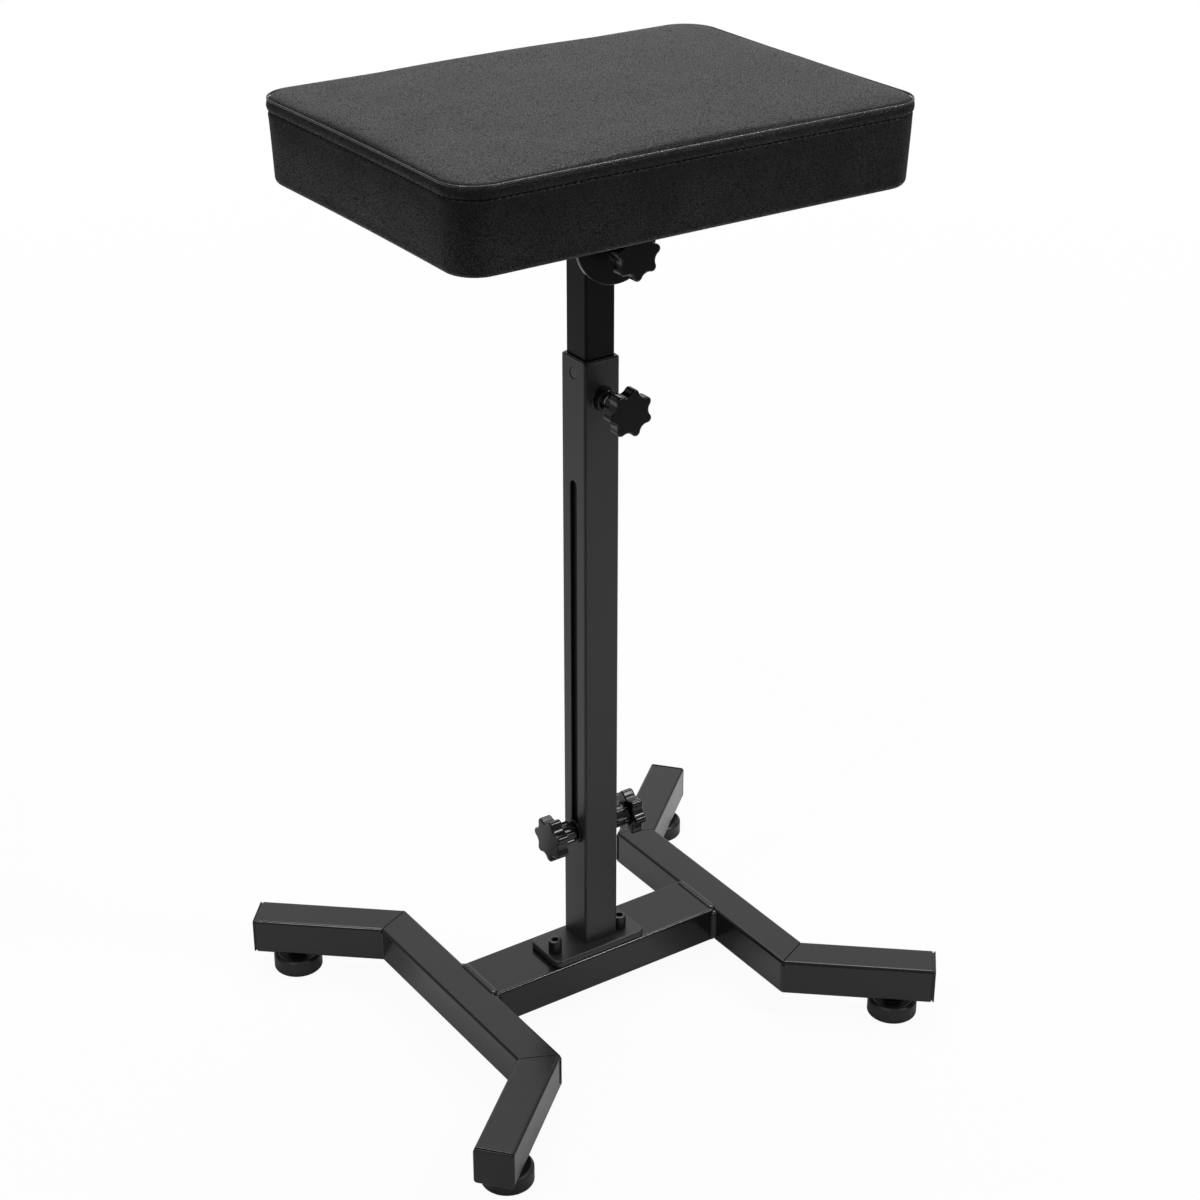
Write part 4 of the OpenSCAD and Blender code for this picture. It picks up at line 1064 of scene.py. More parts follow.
def cheek_outline(inset):
    """Half moon: a half circle below, t from 180 to 360 degrees, and straight sides above."""
    t = np.radians(np.linspace(180, 360, 49))
    r = CHEEK_R - inset
    arc = np.column_stack([r * np.cos(t), arc_z + r * np.sin(t)])
    top = bracket_low.z - tilt_z
    return np.vstack([arc, [[r, top], [r / 2, top], [0, top], [-r / 2, top], [-r, top]]])


def on_tilt_axis(surface, y, axes=TO_FRONT):
    """A shape on the axis of the tilt joint, drawn from the depth y on."""
    return placed(surface, (0, y, tilt_z), *axes)


for name, low_y in (("front", cheek_high.y), ("rear", -cheek_low.y)):
    moon = add_piece(f"{name}_half_moon",
                     on_tilt_axis(slab(cheek_outline, cheek_t, SHEET_EDGE_R), low_y),
                     "powder_coat", "pad", [f"{name}_cheek"])
    # The flat faces take the darker copy of the coat: painted shade of the pad above
    shade_flat_faces(moon, shaded_coat)

# %% Sleeve, its bushes, and the welds
sleeve_low, sleeve_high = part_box("pivot_sleeve")
SLEEVE_R = sleeve_high.x
SLEEVE_WALL = 2 * MM
sleeve_l = sleeve_high.y - sleeve_low.y
sleeve_bore = SLEEVE_R - SLEEVE_WALL
sleeve = turned_ring([[sleeve_bore, 0], [SLEEVE_R, 0], [SLEEVE_R, sleeve_l],
                      [sleeve_bore, sleeve_l]], 0.5 * MM)
add_piece("tilt_sleeve", on_tilt_axis(sleeve, sleeve_high.y),
          "powder_coat", "post", ["pivot_sleeve"])
bush_low, bush_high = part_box("sleeve_bushes")
COLLAR_R, COLLAR_L, BUSH_L = SLEEVE_R - 1 * MM, 1.5 * MM, 13.5 * MM
bush = turned_ring([[ROD_R + PIN_GAP, 0], [COLLAR_R, 0], [COLLAR_R, COLLAR_L],
                    [sleeve_bore, COLLAR_L], [sleeve_bore, BUSH_L], [ROD_R + PIN_GAP, BUSH_L]],
                   0.3 * MM)
add_piece("tilt_bushes", joined(on_tilt_axis(bush, bush_low.y, TO_BACK),
                                on_tilt_axis(bush, bush_high.y)),
          "cap_plastic", "post", ["sleeve_bushes"])
post_low, post_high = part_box("inner_post")
POST_SIDE = post_high.x - post_low.x
# How far below the axis the post's sides meet the sleeve
meet = math.sqrt(SLEEVE_R ** 2 - (SLEEVE_R - 1.2 * MM) ** 2)
post_beads = [bead((sx * (SLEEVE_R - 0.6 * MM), -0.4 * POST_SIDE, tilt_z - meet),
                   (sx * (SLEEVE_R - 0.6 * MM), 0.4 * POST_SIDE, tilt_z - meet),
                   (0, 0, -1.8 * MM), (sx * 1.5 * MM, 0, 0), arc=180.0) for sx in (-1, 1)]
add_piece("post_weld_beads", joined(*post_beads), "powder_coat", "post", ["sleeve_welds"],
          **ROUND_SHAPE)
weld_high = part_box("bracket_welds")[1]
CHEEK_BEAD_R = 2.6 * MM
cheek_beads = [bead((-weld_high.x, sy * -cheek_low.y, bracket_low.z),
                    (weld_high.x, sy * -cheek_low.y, bracket_low.z),
                    (0, 0, -CHEEK_BEAD_R), (0, sy * CHEEK_BEAD_R, 0)) for sy in (-1, 1)]
add_piece("cheek_weld_beads", joined(*cheek_beads), "powder_coat", "pad", ["bracket_welds"],
          **ROUND_SHAPE)

# %% Bolt, washers and the bracket's screws
bolt_low, bolt_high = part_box("tilt_bolt")
washer_low, washer_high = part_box("tilt_washers")
BOLT_HEAD_H = 5.3 * MM
BOLT_FLAT = 13 * MM
THREAD_L = 24 * MM
head_seat = bolt_high.y - BOLT_HEAD_H
# The plain shank ends a millimetre inside the thread
shank_l = head_seat - bolt_low.y - THREAD_L + 1 * MM
add_piece("tilt_hex_bolt", joined(
    on_tilt_axis(hex_solid(BOLT_FLAT, BOLT_HEAD_H), head_seat, TO_BACK),
    on_tilt_axis(threaded_rod(ROD_R, 0, THREAD_L), bolt_low.y + THREAD_L),
    on_tilt_axis(turned(np.array([[ROD_R, 0], [ROD_R, shank_l]])), head_seat)),
    "black_steel", "post", ["tilt_bolt"])
add_piece("tilt_joint_washers", joined(
    on_tilt_axis(washer(WASHER_R, ROD_R, WASHER_T), washer_low.y + WASHER_T),
    on_tilt_axis(washer(WASHER_R, ROD_R, WASHER_T), washer_high.y - WASHER_T, TO_BACK)),
    "black_steel", "post", ["tilt_washers"])
bolts_low, bolts_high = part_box("bracket_screws")
BUTTON_R = 5.5 * MM
BUTTON_SHANK_R = 3 * MM
BUTTON_H = bracket_low.z - bolts_low.z


def button_head(sides=72):
    """A domed screw head, r and z on a quarter ellipse, with a hexagonal socket."""
    a = all_round(sides)
    t = np.linspace(0.12, np.pi / 2 - 0.55, 8)
    rows = [(BUTTON_SHANK_R, -2 * MM), (BUTTON_SHANK_R, 0), (BUTTON_R - 0.2 * MM, 0)]
    rows += [(BUTTON_R * math.cos(k), BUTTON_H * math.sin(k) / math.sin(t[-1])) for k in t]
    inner = hexagon(4 * MM, a)
    rows += [(inner + 0.2 * MM, BUTTON_H), (inner, BUTTON_H - 0.2 * MM),
             (inner, BUTTON_H - 2 * MM), (0.05 * inner, BUTTON_H - 2.2 * MM)]
    return loft(rings_of(a, rows))


add_piece("bracket_button_heads", joined(*[
    placed(button_head(), (sx * (bolts_high.x - BUTTON_R), sy * (bolts_high.y - BUTTON_R),
                           bracket_low.z), *HANGING)
    for sx in (-1, 1) for sy in (-1, 1)]), "black_steel", "pad", ["bracket_screws"])

# %% [markdown]
# ## The pad: a grid without a pole
# The cover is a top panel and a band, sewn together all round. A net of rings that shrink to the
# middle would crowd there, so the panel is a patch instead: four pieces of the outline are its
# sides, and each inner point blends them, which is called a Coons patch. The outline is measured by
# its length, so the points lie evenly along it, and the patch's corners lie on the round corners.

# %% Sizes of the pad, and its outline by length
band_low, band_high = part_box("pad_side_band")
panel_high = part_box("pad_top_panel")[1]
PAD_R = 26 * MM
SEAM_Z = band_high.z
PAD_Z = band_low.z
CROWN = panel_high.z - SEAM_Z
TAPER = 2.5 * MM
DRAW = 1.2 * MM
WRAP_R = 5 * MM
RETURN_W = 26 * MM
pad_x, pad_y = 2 * band_high.x, 2 * band_high.y
trace = rounded_rect(pad_x, pad_y, PAD_R, steps=32)
trace = np.vstack([trace, trace[:1]])
trace_length = np.concatenate([[0], np.cumsum(np.linalg.norm(np.diff(trace, axis=0), axis=1))])
PERIMETER = trace_length[-1]
LONG = pad_x - 2 * PAD_R + np.pi / 2 * PAD_R
SHORT = pad_y - 2 * PAD_R + np.pi / 2 * PAD_R
FIRST = np.pi / 4 * PAD_R
print(f"Pad {pad_x / MM:.0f} x {pad_y / MM:.0f} mm, {PERIMETER / MM:.0f} mm round its seam")


flat_x, flat_y = pad_x / 2 - PAD_R, pad_y / 2 - PAD_R


def side_draw(x, y, on_short_side):
    """How far the sides are drawn in between the corners: DRAW times a cosine of the distance
    from the side's middle, and nothing on the round corners."""
    return DRAW * np.where(on_short_side, np.cos(np.pi / 2 * y / flat_y) * (np.abs(y) < flat_y),
                           np.cos(np.pi / 2 * x / flat_x) * (np.abs(x) < flat_x))


def pad_line(s, inset):
    """Points at the lengths s along the outline, moved inwards by inset and by the draw."""
    s = s % PERIMETER
    x, y = (np.interp(s, trace_length, trace[:, k]) for k in (0, 1))
    cx, cy = np.clip(x, -flat_x, flat_x), np.clip(y, -flat_y, flat_y)
    away = np.stack([x - cx, y - cy], -1) / PAD_R
    draw = side_draw(x, y, np.abs(away[..., 0]) > np.abs(away[..., 1]))
    return np.stack([x, y], -1) - away * (np.asarray(inset) + draw)[..., None]


# %% Net of the cover
CELL = 5 * MM
nx, ny = int(LONG / CELL), int(SHORT / CELL)


def spaced(n, crowd):
    """Places from 0 to 1 in n steps. The first and the last step are crowd times the middle ones,
    and the steps between grow by a third each, so the net can be finer along the seam."""
    i = np.arange(n)
    step = np.minimum(1, crowd * 1.33 ** np.minimum(i, n - 1 - i))
    return np.concatenate([[0], np.cumsum(step)]) / step.sum()


def round_the_seam(nx, ny, crowd, side_steps):
    """For every point of the seam, its side's start plus its place in steps of that side."""
    steps = [nx, ny, nx, ny]
    starts = np.cumsum([0, *side_steps[:-1]])
    return np.concatenate([start + spaced(n, crowd)[:-1] * whole
                           for start, n, whole in zip(starts, steps, side_steps)])


def patch(ring, nx, ny, crowd=1.0):
    """Coons patch in a closed ring: P = (1-v) A(u) + v C(u) + (1-u) D(v) + u B(v), minus the
    bilinear blend of the four corners, where A, B, C and D are the sides in turn."""
    again = np.vstack([ring, ring[:1]])
    a = again[:nx + 1, None]
    b = again[nx:nx + ny + 1][None]
    c = again[nx + ny:2 * nx + ny + 1][::-1][:, None]
    d = again[2 * nx + ny:][::-1][None]
    u = spaced(nx, crowd)[:, None, None]
    v = spaced(ny, crowd)[None, :, None]
    corners = (1 - u) * (1 - v) * a[0] + u * (1 - v) * a[-1] + (1 - u) * v * c[0] + u * v * c[-1]
    return (1 - v) * a + v * c + (1 - u) * d + u * b - corners


def crown_height(points):
    """Share of the crown over a point of the panel: 1 - d^3, where d is its distance from the
    middle as a share of the way to the seam, measured by the sixth root of x^6 + y^6."""
    x, y = np.abs(points[..., 0]) * 2 / pad_x, np.abs(points[..., 1]) * 2 / pad_y
    return 1 - np.clip((x ** 6 + y ** 6) ** (1 / 6), 0, 1) ** 3


print("The panel's net has", nx, "by", ny, "cells")

# %% The band's section, from the seam to the inner edge of its return under the board
side_h = SEAM_Z - PAD_Z - WRAP_R
SKIN = side_h + np.pi / 2 * WRAP_R + RETURN_W


def band_section(v):
    """Inset and height at the length v down the skin: a straight side that leans in by the
    taper, a quarter circle round the lower edge, and a flat return."""
    t = np.clip((v - side_h) / WRAP_R, 0, np.pi / 2)
    inset = TAPER * np.clip(v / side_h, 0, 1) + WRAP_R * (1 - np.cos(t))
    inset = inset + np.clip(v - side_h - np.pi / 2 * WRAP_R, 0, None)
    return inset, SEAM_Z - np.clip(v, 0, side_h) - WRAP_R * np.sin(t)


def side_net(s, v):
    """The band as an array [rows, round, 3]: its section at the lengths v, carried along s."""
    return np.stack([np.column_stack([pad_line(s, np.full(len(s), inset)), np.full(len(s), height)])
                     for inset, height in zip(*band_section(v))])


SIDE_LENGTHS = [LONG, SHORT, LONG, SHORT]
rows_v = np.linspace(0, SKIN, int(SKIN / CELL) + 1)
band = side_net(FIRST + round_the_seam(nx, ny, 1.0, SIDE_LENGTHS), rows_v)
panel = patch(band[0], nx, ny)
panel[..., 2] += 0.2 * CROWN * crown_height(panel)
print("Net:", panel.shape[:2], "panel,", band.shape[:2], "band")

# %% [markdown]
# ## The pad: stuffing it
# Foam pushes the cover out evenly, which is what the pressure of Blender's Cloth does. The seam
# and everything under the pad is held, as stitches and staples hold it. After twenty frames, the
# moves are read off, limited, and scaled so that the middle rises to the real crown. They are then
# carried over to a finer net, and no cloth is left on the piece.

# %% Simulate the cover
STUFFING_FRAMES = 20
MAX_MOVE = 9 * MM
SIDE_MOVE = 1.0 * MM


def net_surface(panel, band, under):
    """The three nets as one surface. Their borders coincide and are merged later."""
    return joined((panel.reshape(-1, 3), [grid_faces(*panel.shape[:2], close_cols=False)]),
                  (band.reshape(-1, 3), [grid_faces(*band.shape[:2])]),
                  (under.reshape(-1, 3), [grid_faces(*under.shape[:2], close_cols=False)]))


def stuffed(panel, band, under):
    """Moves of the panel and the band under pressure, by Cloth on the net of the cover. Points
    that coincide on a border are one point of the cloth, and all get its move."""
    points, blocks = net_surface(panel, band, under)
    _, first, same = np.unique(np.round(points / MERGE), axis=0, return_index=True, return_inverse=True)
    same = same.reshape(-1)
    start = points[first]
    mesh = new_mesh("stuffing", (start, [same[block] for block in blocks]), merge=False)
    cover = bpy.data.objects.new("stuffing", mesh)
    bpy.context.scene.collection.objects.link(cover)
    on_seam = np.abs(start[:, 2] - SEAM_Z) < MERGE
    below = start[:, 2] < PAD_Z + WRAP_R
    held = cover.vertex_groups.new(name="held")
    held.add(np.flatnonzero(on_seam | below).tolist(), 1.0, "REPLACE")
    cloth = cover.modifiers.new("stuffing", "CLOTH")
    settings = cloth.settings
    settings.quality = 6
    settings.mass = 0.25
    settings.bending_stiffness = 2.0
    settings.use_pressure = True
    settings.uniform_pressure_force = 4.0
    settings.effector_weights.gravity = 0.0
    settings.vertex_group_mass = "held"
    cloth.collision_settings.use_collision = False
    cloth.point_cache.frame_start = 1
    cloth.point_cache.frame_end = STUFFING_FRAMES
    for tick in range(1, STUFFING_FRAMES + 1):
        bpy.context.scene.frame_set(tick)
    posed = cover.evaluated_get(bpy.context.evaluated_depsgraph_get())
    after = np.zeros(start.size)
    posed.data.vertices.foreach_get("co", after)
    bpy.context.scene.frame_set(1)
    bpy.data.objects.remove(cover)
    move = after.reshape(-1, 3) - start
    size = np.linalg.norm(move, axis=1, keepdims=True)
    move = (move * np.minimum(1, MAX_MOVE / np.maximum(size, MERGE)))[same]
    count = panel.shape[0] * panel.shape[1]
    return (move[:count].reshape(panel.shape),
            move[count:count + band.shape[0] * band.shape[1]].reshape(band.shape))


panel_move, band_move = stuffed(panel, band, patch(band[-1], nx, ny))
lift = panel_move[..., 2].max()
bulge = np.linalg.norm(band_move, axis=-1).max()
lift_share = panel_move[..., 2] / lift
band_move *= SIDE_MOVE / bulge
print(f"Stuffing lifts the panel by {lift / MM:.1f} mm and the sides by "
          f"{bulge / MM:.1f} mm before scaling")

# %% [markdown]
# ## The pad: seam, puckers and stitches
# The finer net takes the simulated moves through a smooth curve between the coarse points. On
# top of them come the marks of sewing, as offsets along the outward direction: a flange that is
# puffed between the lip and the row of stitches, a groove where the thread pulls, and puckers that
# fade away from it. The waves of the puckers are sums of sines, so they repeat nowhere in sight.

# %% Smooth resampling
def between(values, at, closed=False):
    """Catmull-Rom curve through values along their first axis, read at the fractional places at."""
    n = len(values)
    i = np.clip(np.floor(at).astype(int), 0, n - 1)
    f = (at - i).reshape(-1, *[1] * (values.ndim - 1))
    p = [values[(i + k) % n] if closed else values[np.clip(i + k, 0, n - 1)] for k in (-1, 0, 1, 2)]
    return 0.5 * (2 * p[1] + (p[2] - p[0]) * f + (2 * p[0] - 5 * p[1] + 4 * p[2] - p[3]) * f ** 2
                  + (3 * p[1] - p[0] - 3 * p[2] + p[3]) * f ** 3)


def waves(s, pitch, seed, count=5):
    """Sum of sines along the seam with whole numbers of waves around it, near one pitch."""
    rng = np.random.RandomState(seed)
    base = PERIMETER / pitch
    turns = np.round(base * rng.uniform(0.62, 1.45, count))
    phase = rng.uniform(0, TAU, count)
    size = rng.uniform(0.5, 1.0, count)
    total = sum(k * np.sin(TAU * n * s / PERIMETER + f) for k, n, f in zip(size, turns, phase))
    return total / np.sqrt((size ** 2).sum())


def bump_at(v, centre, width):
    """A bell: exp(-((v - centre) / width)^2)."""
    return np.exp(-((v - centre) / width) ** 2)


print("A curve through 0, 1, 4 and 9 gives", between(np.array([0.0, 1, 4, 9]), np.array([1.5]))[0],
      "half way between 1 and 4")

# %% The finer band and its relief
FINER = 2
CROWD = 0.2
STITCH_V = 8.6 * MM
CREASE = 1.9 * MM
CREASE_DEPTH = 0.8 * MM
PUCKER_PITCH = 9 * MM
fine_nx, fine_ny = FINER * nx, FINER * ny
flange_v = [0, 0.5, 1.1, 1.8, 2.7, 3.8, 5.0, 6.2, 7.1, 7.8, 8.2, 8.6, 9.0, 9.5, 10.3, 11.5, 13.2]
fine_v = np.concatenate([np.array(flange_v) * MM, np.linspace(16 * MM, side_h - 3 * MM, 13),
                         side_h + np.linspace(0, np.pi / 2 * WRAP_R, 7),
                         side_h + np.pi / 2 * WRAP_R + np.array([4, 10, 18, 26]) * MM])
seam_s = FIRST + round_the_seam(fine_nx, fine_ny, CROWD, SIDE_LENGTHS)
band = side_net(seam_s, fine_v)
around = round_the_seam(fine_nx, fine_ny, CROWD, [nx, ny, nx, ny])
round_move = between(band_move.swapaxes(0, 1), around, closed=True).swapaxes(0, 1)
v = fine_v[:, None]
# The bulge of the stuffing begins below the row of stitches
bulging = np.clip((v - 11 * MM) / (9 * MM), 0, 1)[..., None]
band += between(round_move, fine_v / rows_v[1]) * bulging
outward = pad_line(seam_s, np.zeros(len(seam_s))) - pad_line(seam_s, np.full(len(seam_s), MM))
outward = np.column_stack([outward / MM, np.zeros(len(seam_s))])
pull = waves(seam_s, PUCKER_PITCH, 3)[None]
slow = waves(seam_s, 60 * MM, 8)[None]
crease = bump_at(v, 0, 1.1 * MM)
# The flange is puffed between the fold and the stitches, whose thread pulls a groove
flange = 0.65 * MM * bump_at(v, 4.6 * MM, 2.6 * MM)
groove = -1.0 * MM * bump_at(v, STITCH_V, 0.8 * MM)
pucker = pull * (0.12 * MM * bump_at(v, STITCH_V + 2.4 * MM, 2.6 * MM)
                 + 0.1 * MM * bump_at(v, 4.5 * MM, 2.5 * MM))
sway = 0.08 * MM * bump_at(v, 26 * MM, 18 * MM) * slow
band += ((flange + groove + pucker + sway) * (1 - crease) - CREASE * crease)[..., None] * outward[None]
band[..., 2] -= CREASE_DEPTH * bump_at(v, 0, 0.5 * MM)
print(f"Relief of the band: {pucker.min() / MM:.2f} to {pucker.max() / MM:.2f} mm of puckers")

# %% The finer panel
# It starts in the crease behind the lip, climbs steeply past it, and then rolls over to the top.
STEEP_RISE, STEEP_REACH = 1.7 * MM, 0.8 * MM
ROLL_RISE, ROLL_REACH = 2.3 * MM, 7.0 * MM
panel = patch(band[0], fine_nx, fine_ny, CROWD)
inner_x = pad_x / 2 - np.abs(panel[..., 0])
inner_y = pad_y / 2 - np.abs(panel[..., 1])
corner = np.hypot(np.maximum(PAD_R - inner_x, 0), np.maximum(PAD_R - inner_y, 0))
margin = np.where(corner > 0, PAD_R - corner, np.minimum(inner_x, inner_y))
margin = margin - CREASE - side_draw(panel[..., 0], panel[..., 1], inner_x < inner_y)
margin = np.clip(margin, 0, None)
inside = 1 - np.exp(-margin / (2 * MM))
across = spaced(fine_nx, CROWD) * nx
down = spaced(fine_ny, CROWD) * ny
lifted = between(between(lift_share, across).swapaxes(0, 1), down).swapaxes(0, 1)
# Each rise is its height * (1 - exp(-margin / reach))
roll = sum(rise * (1 - np.exp(-margin / reach))
           for rise, reach in ((STEEP_RISE, STEEP_REACH), (ROLL_RISE, ROLL_REACH)))
angle_s = np.where(inner_x < inner_y, panel[..., 1] * np.sign(panel[..., 0]),
                   -panel[..., 0] * np.sign(panel[..., 1]) + LONG)
tug = 0.07 * MM * np.exp(-margin / (7 * MM)) * waves(angle_s, PUCKER_PITCH, 5)
rng = np.random.RandomState(11)
hollows = sum(0.1 * MM * np.sin(TAU * (panel[..., 0] * fx + panel[..., 1] * fy) + f)
              for fx, fy, f in zip(rng.uniform(-9, 9, 7), rng.uniform(-9, 9, 7), rng.uniform(0, TAU, 7)))
# The panel's rim stays on the band's first row, so that the two close
free = np.zeros(margin.shape)
free[1:-1, 1:-1] = 1
panel[..., 2] += free * (roll + inside * (CROWN * (0.2 * crown_height(panel) + 0.3 * lifted) + tug
                                          + hollows * np.clip(margin / (20 * MM), 0, 1)))
under = patch(band[-1], fine_nx, fine_ny, CROWD)
cushion = add_piece("pad_cushion", net_surface(panel, band, under), "pad_leather", "pad",
                    ["pad_foam", "pad_side_band", "pad_top_panel"], **SOFT_SHAPE)

# %% The folded lip along the seam
LIP_INSET = 0.45 * MM
LIP_R = 0.58 * MM
LIP_RISE = 0.85 * MM


def lip():
    """Section of the fold: centre + (LIP_R cos t, LIP_RISE sin t), with a ripple between the
    stitches of a few hundredths of a millimetre."""
    t = np.linspace(0, TAU, 12, endpoint=False)
    wobble = 1 + 0.015 * waves(seam_s, PUCKER_PITCH, 21)
    line = pad_line(seam_s, np.full(len(seam_s), LIP_INSET))
    centre = np.column_stack([line, np.full(len(seam_s), SEAM_Z - 0.05 * MM)])
    rise = np.array([0, 0, 1.0])
    section = (LIP_R * np.cos(t)[None, :, None] * outward[:, None]
               + LIP_RISE * np.sin(t)[None, :, None] * rise)
    return loft(centre[:, None] + wobble[:, None, None] * section, close_rows=True)


add_piece("pad_seam_lip", lip(), "pad_leather", "pad", look=folded_leather, **SOFT_SHAPE)


# %% The row of stitches
def stitches(pitch=5.2 * MM, length=3.9 * MM, radius=0.62 * MM, sides=6):
    """All stitches at once, as an array [stitch, ring, side]. A stitch is a thin spindle along
    the groove, that sinks at its ends by 0.35 mm * u^2 for u from -1 to 1, and slants a little."""
    count = int(PERIMETER / pitch)
    u = np.array([-1.0, -0.9, -0.5, 0.0, 0.5, 0.9, 1.0])
    at = (np.arange(count) / count * PERIMETER)[:, None] + u * length / 2
    row = band[np.argmin(np.abs(fine_v - STITCH_V))]

    def in_groove(places):
        """Points of the groove at lengths along the seam."""
        return np.stack([np.interp(places, seam_s, row[:, k], period=PERIMETER) for k in range(3)], -1)

    ahead = in_groove(at + 1 * MM) - in_groove(at - 1 * MM)
    ahead /= np.linalg.norm(ahead, axis=-1, keepdims=True)
    side = np.stack([ahead[..., 1], -ahead[..., 0], 0 * ahead[..., 0]], -1)
    rise = np.array([0, 0, 1.0])
    t = all_round(sides)
    r = radius * np.sqrt(np.clip(1 - u ** 2, 0.04, 1))[:, None, None]
    sink = (0.2 * MM - 0.35 * MM * u ** 2)[:, None]
    centre = in_groove(at) + sink * side + (0.3 * MM * u)[:, None] * rise
    section = np.cos(t)[:, None] * side[:, :, None] + np.sin(t)[:, None] * rise
    rings = centre[:, :, None] + r * section
    block = grid_faces(len(u), sides)
    caps = np.stack([np.arange(sides)[::-1], (len(u) - 1) * sides + np.arange(sides)])
    step = (np.arange(count) * len(u) * sides)[:, None, None]
    return rings.reshape(-1, 3), [(block[None] + step).reshape(-1, 4),
                                  (caps[None] + step).reshape(-1, sides)]


add_piece("pad_stitches", stitches(), "pad_leather", "pad", look=stitch_thread, **SOFT_SHAPE)

# %% [markdown]
# ## Under the pad
# A thin non-woven cloth hides the board's underside. It is stapled all round, a little inside the
# edge, and lies in shallow hollows between the staples.

# %% Dust cover
dust_low, dust_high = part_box("dust_cover")
dust_l, dust_w = dust_high.x - dust_low.x, dust_high.y - dust_low.y
STAPLE_STEP = 32 * MM


def dust_sheet(nx=120, ny=88):
    """A flat sheet with two faces. Its lower face lies 0.15 mm above the cover's bottom and, near the
    rim, ripples between the staples by about a tenth of a millimetre; the ripples fade inwards."""
    x, y = np.meshgrid(np.linspace(-1, 1, nx), np.linspace(-1, 1, ny), indexing="ij")
    rim = np.maximum(np.abs(x), np.abs(y))
    ripple = 0.12 * MM * (np.cos(TAU * x * dust_l / 2 / STAPLE_STEP) * (np.abs(y) >= np.abs(x))
                          + np.cos(TAU * y * dust_w / 2 / STAPLE_STEP) * (np.abs(y) < np.abs(x)))
    low = dust_low.z + 0.15 * MM + ripple * np.clip((rim - 0.7) / 0.3, 0, 1)
    top = np.stack([x * dust_l / 2, y * dust_w / 2, np.full(x.shape, dust_high.z - 0.02 * MM)], -1)
    bottom = np.stack([x * dust_l / 2, y * dust_w / 2, low], -1)
    faces = grid_faces(nx, ny, close_cols=False)
    start = nx * ny
    edge = np.concatenate([np.arange(ny), np.arange(1, nx) * ny + ny - 1,
                           (nx - 1) * ny + np.arange(ny - 2, -1, -1), np.arange(nx - 2, 0, -1) * ny])
    beside = np.roll(edge, -1)
    wall = np.stack([edge, beside, beside + start, edge + start], -1)
    return np.vstack([top.reshape(-1, 3), bottom.reshape(-1, 3)]), [faces, faces + start, wall]


dust_cloth = add_piece("pad_dust_cloth", dust_sheet(), "dust_fabric", "pad", ["dust_cover"],
                       **ROUND_SHAPE)


# %% Staples round the dust cover
def staple(length=9 * MM, radius=0.45 * MM, sides=8):
    """Wire along x that bends into the board at both ends: the path goes down a quarter circle
    at each end, and rings of the section follow it."""
    bend = 1.0 * MM
    q = np.linspace(0, np.pi / 2, 5)
    left = np.column_stack([-length / 2 - bend * np.sin(q[::-1]), bend * (1 - np.cos(q[::-1])) + 0 * q])
    path = np.vstack([left, left[::-1] * [-1, 1]])
    way = np.gradient(path, axis=0)
    way /= np.linalg.norm(way, axis=1, keepdims=True)
    normal = np.column_stack([-way[:, 1], way[:, 0]])
    t = all_round(sides)
    ring = path[:, None] + radius * np.cos(t)[None, :, None] * normal[:, None]
    rings = np.stack([ring[..., 0], radius * np.sin(t)[None] + 0 * ring[..., 0], ring[..., 1]], -1)
    return loft(rings)


STAPLE_INSET = 6 * MM
staple_z = dust_low.z - 0.25 * MM
staples = []
for length, width, axes in ((dust_l, dust_w, UPRIGHT), (dust_w, dust_l, QUARTER_TURN)):
    along, across = np.array(axes[0]), np.array(axes[1])
    count = int(length / STAPLE_STEP)
    for place in (np.arange(count) - (count - 1) / 2) * STAPLE_STEP:
        for sign in (-1, 1):
            spot = along * place + across * sign * (width / 2 - STAPLE_INSET)
            staples.append(placed(staple(), spot + [0, 0, staple_z], *axes))
add_piece("dust_cloth_staples", joined(*staples), "zinc_steel", "pad", **ROUND_SHAPE)

# %% [markdown]
# ## Camera
# The camera repeats the photograph's view. It was found from the corners of the base, the column
# and the pad, whose real places are known: where it looks, from which direction, how far away it
# stands, and the focal length in pixels of a picture that is 1200 pixels wide.

# %% Camera
PICTURE = 1200
FOCAL_PX = 2418.1
AZIMUTH, ELEVATION, ROLL = (math.radians(a) for a in (-34.24, 26.80, 0.07))
LOOK_AT = np.array([0.017025, 0.012690, 0.339113])
DISTANCE = 1.81555


def hold(thing, origin, x, y, z):
    """Sets an object at the origin along three axes, and adds it to the scene."""
    axes = Matrix(np.column_stack([x, y, z]).tolist()).to_4x4()
    thing.matrix_world = Matrix.Translation(origin) @ axes
    bpy.context.scene.collection.objects.link(thing)


back = np.array([math.sin(AZIMUTH) * math.cos(ELEVATION),
                 -math.cos(AZIMUTH) * math.cos(ELEVATION), math.sin(ELEVATION)])
right = np.array([math.cos(AZIMUTH), math.sin(AZIMUTH), 0])
above = np.cross(back, right)
lens = bpy.data.cameras.new("photo_camera")
lens.sensor_width = 36
lens.lens = FOCAL_PX * lens.sensor_width / PICTURE
lens.clip_end = 100
camera = bpy.data.objects.new("photo_camera", lens)
hold(camera, LOOK_AT + back * DISTANCE, math.cos(ROLL) * right + math.sin(ROLL) * above,
     -math.sin(ROLL) * right + math.cos(ROLL) * above, back)
bpy.context.scene.camera = camera
print("Camera at", [round(float(k), 3) for k in camera.location],
      "with a lens of", round(lens.lens, 2), "mm")

# %% [markdown]
# ## Floor, background and light
# The photograph has a white ground. Here the floor and the world are white where the camera or a
# reflection sees them, which Light Path tells, and they stay plain where they light the object. A
# part of the floor's shading is kept, so that the feet still stand on a faint shadow. Seen from
# below, the floor lets the camera through.

# %% Floor
WHITE = (1, 1, 1, 1)
DIM = (0.2, 0.2, 0.2, 1)
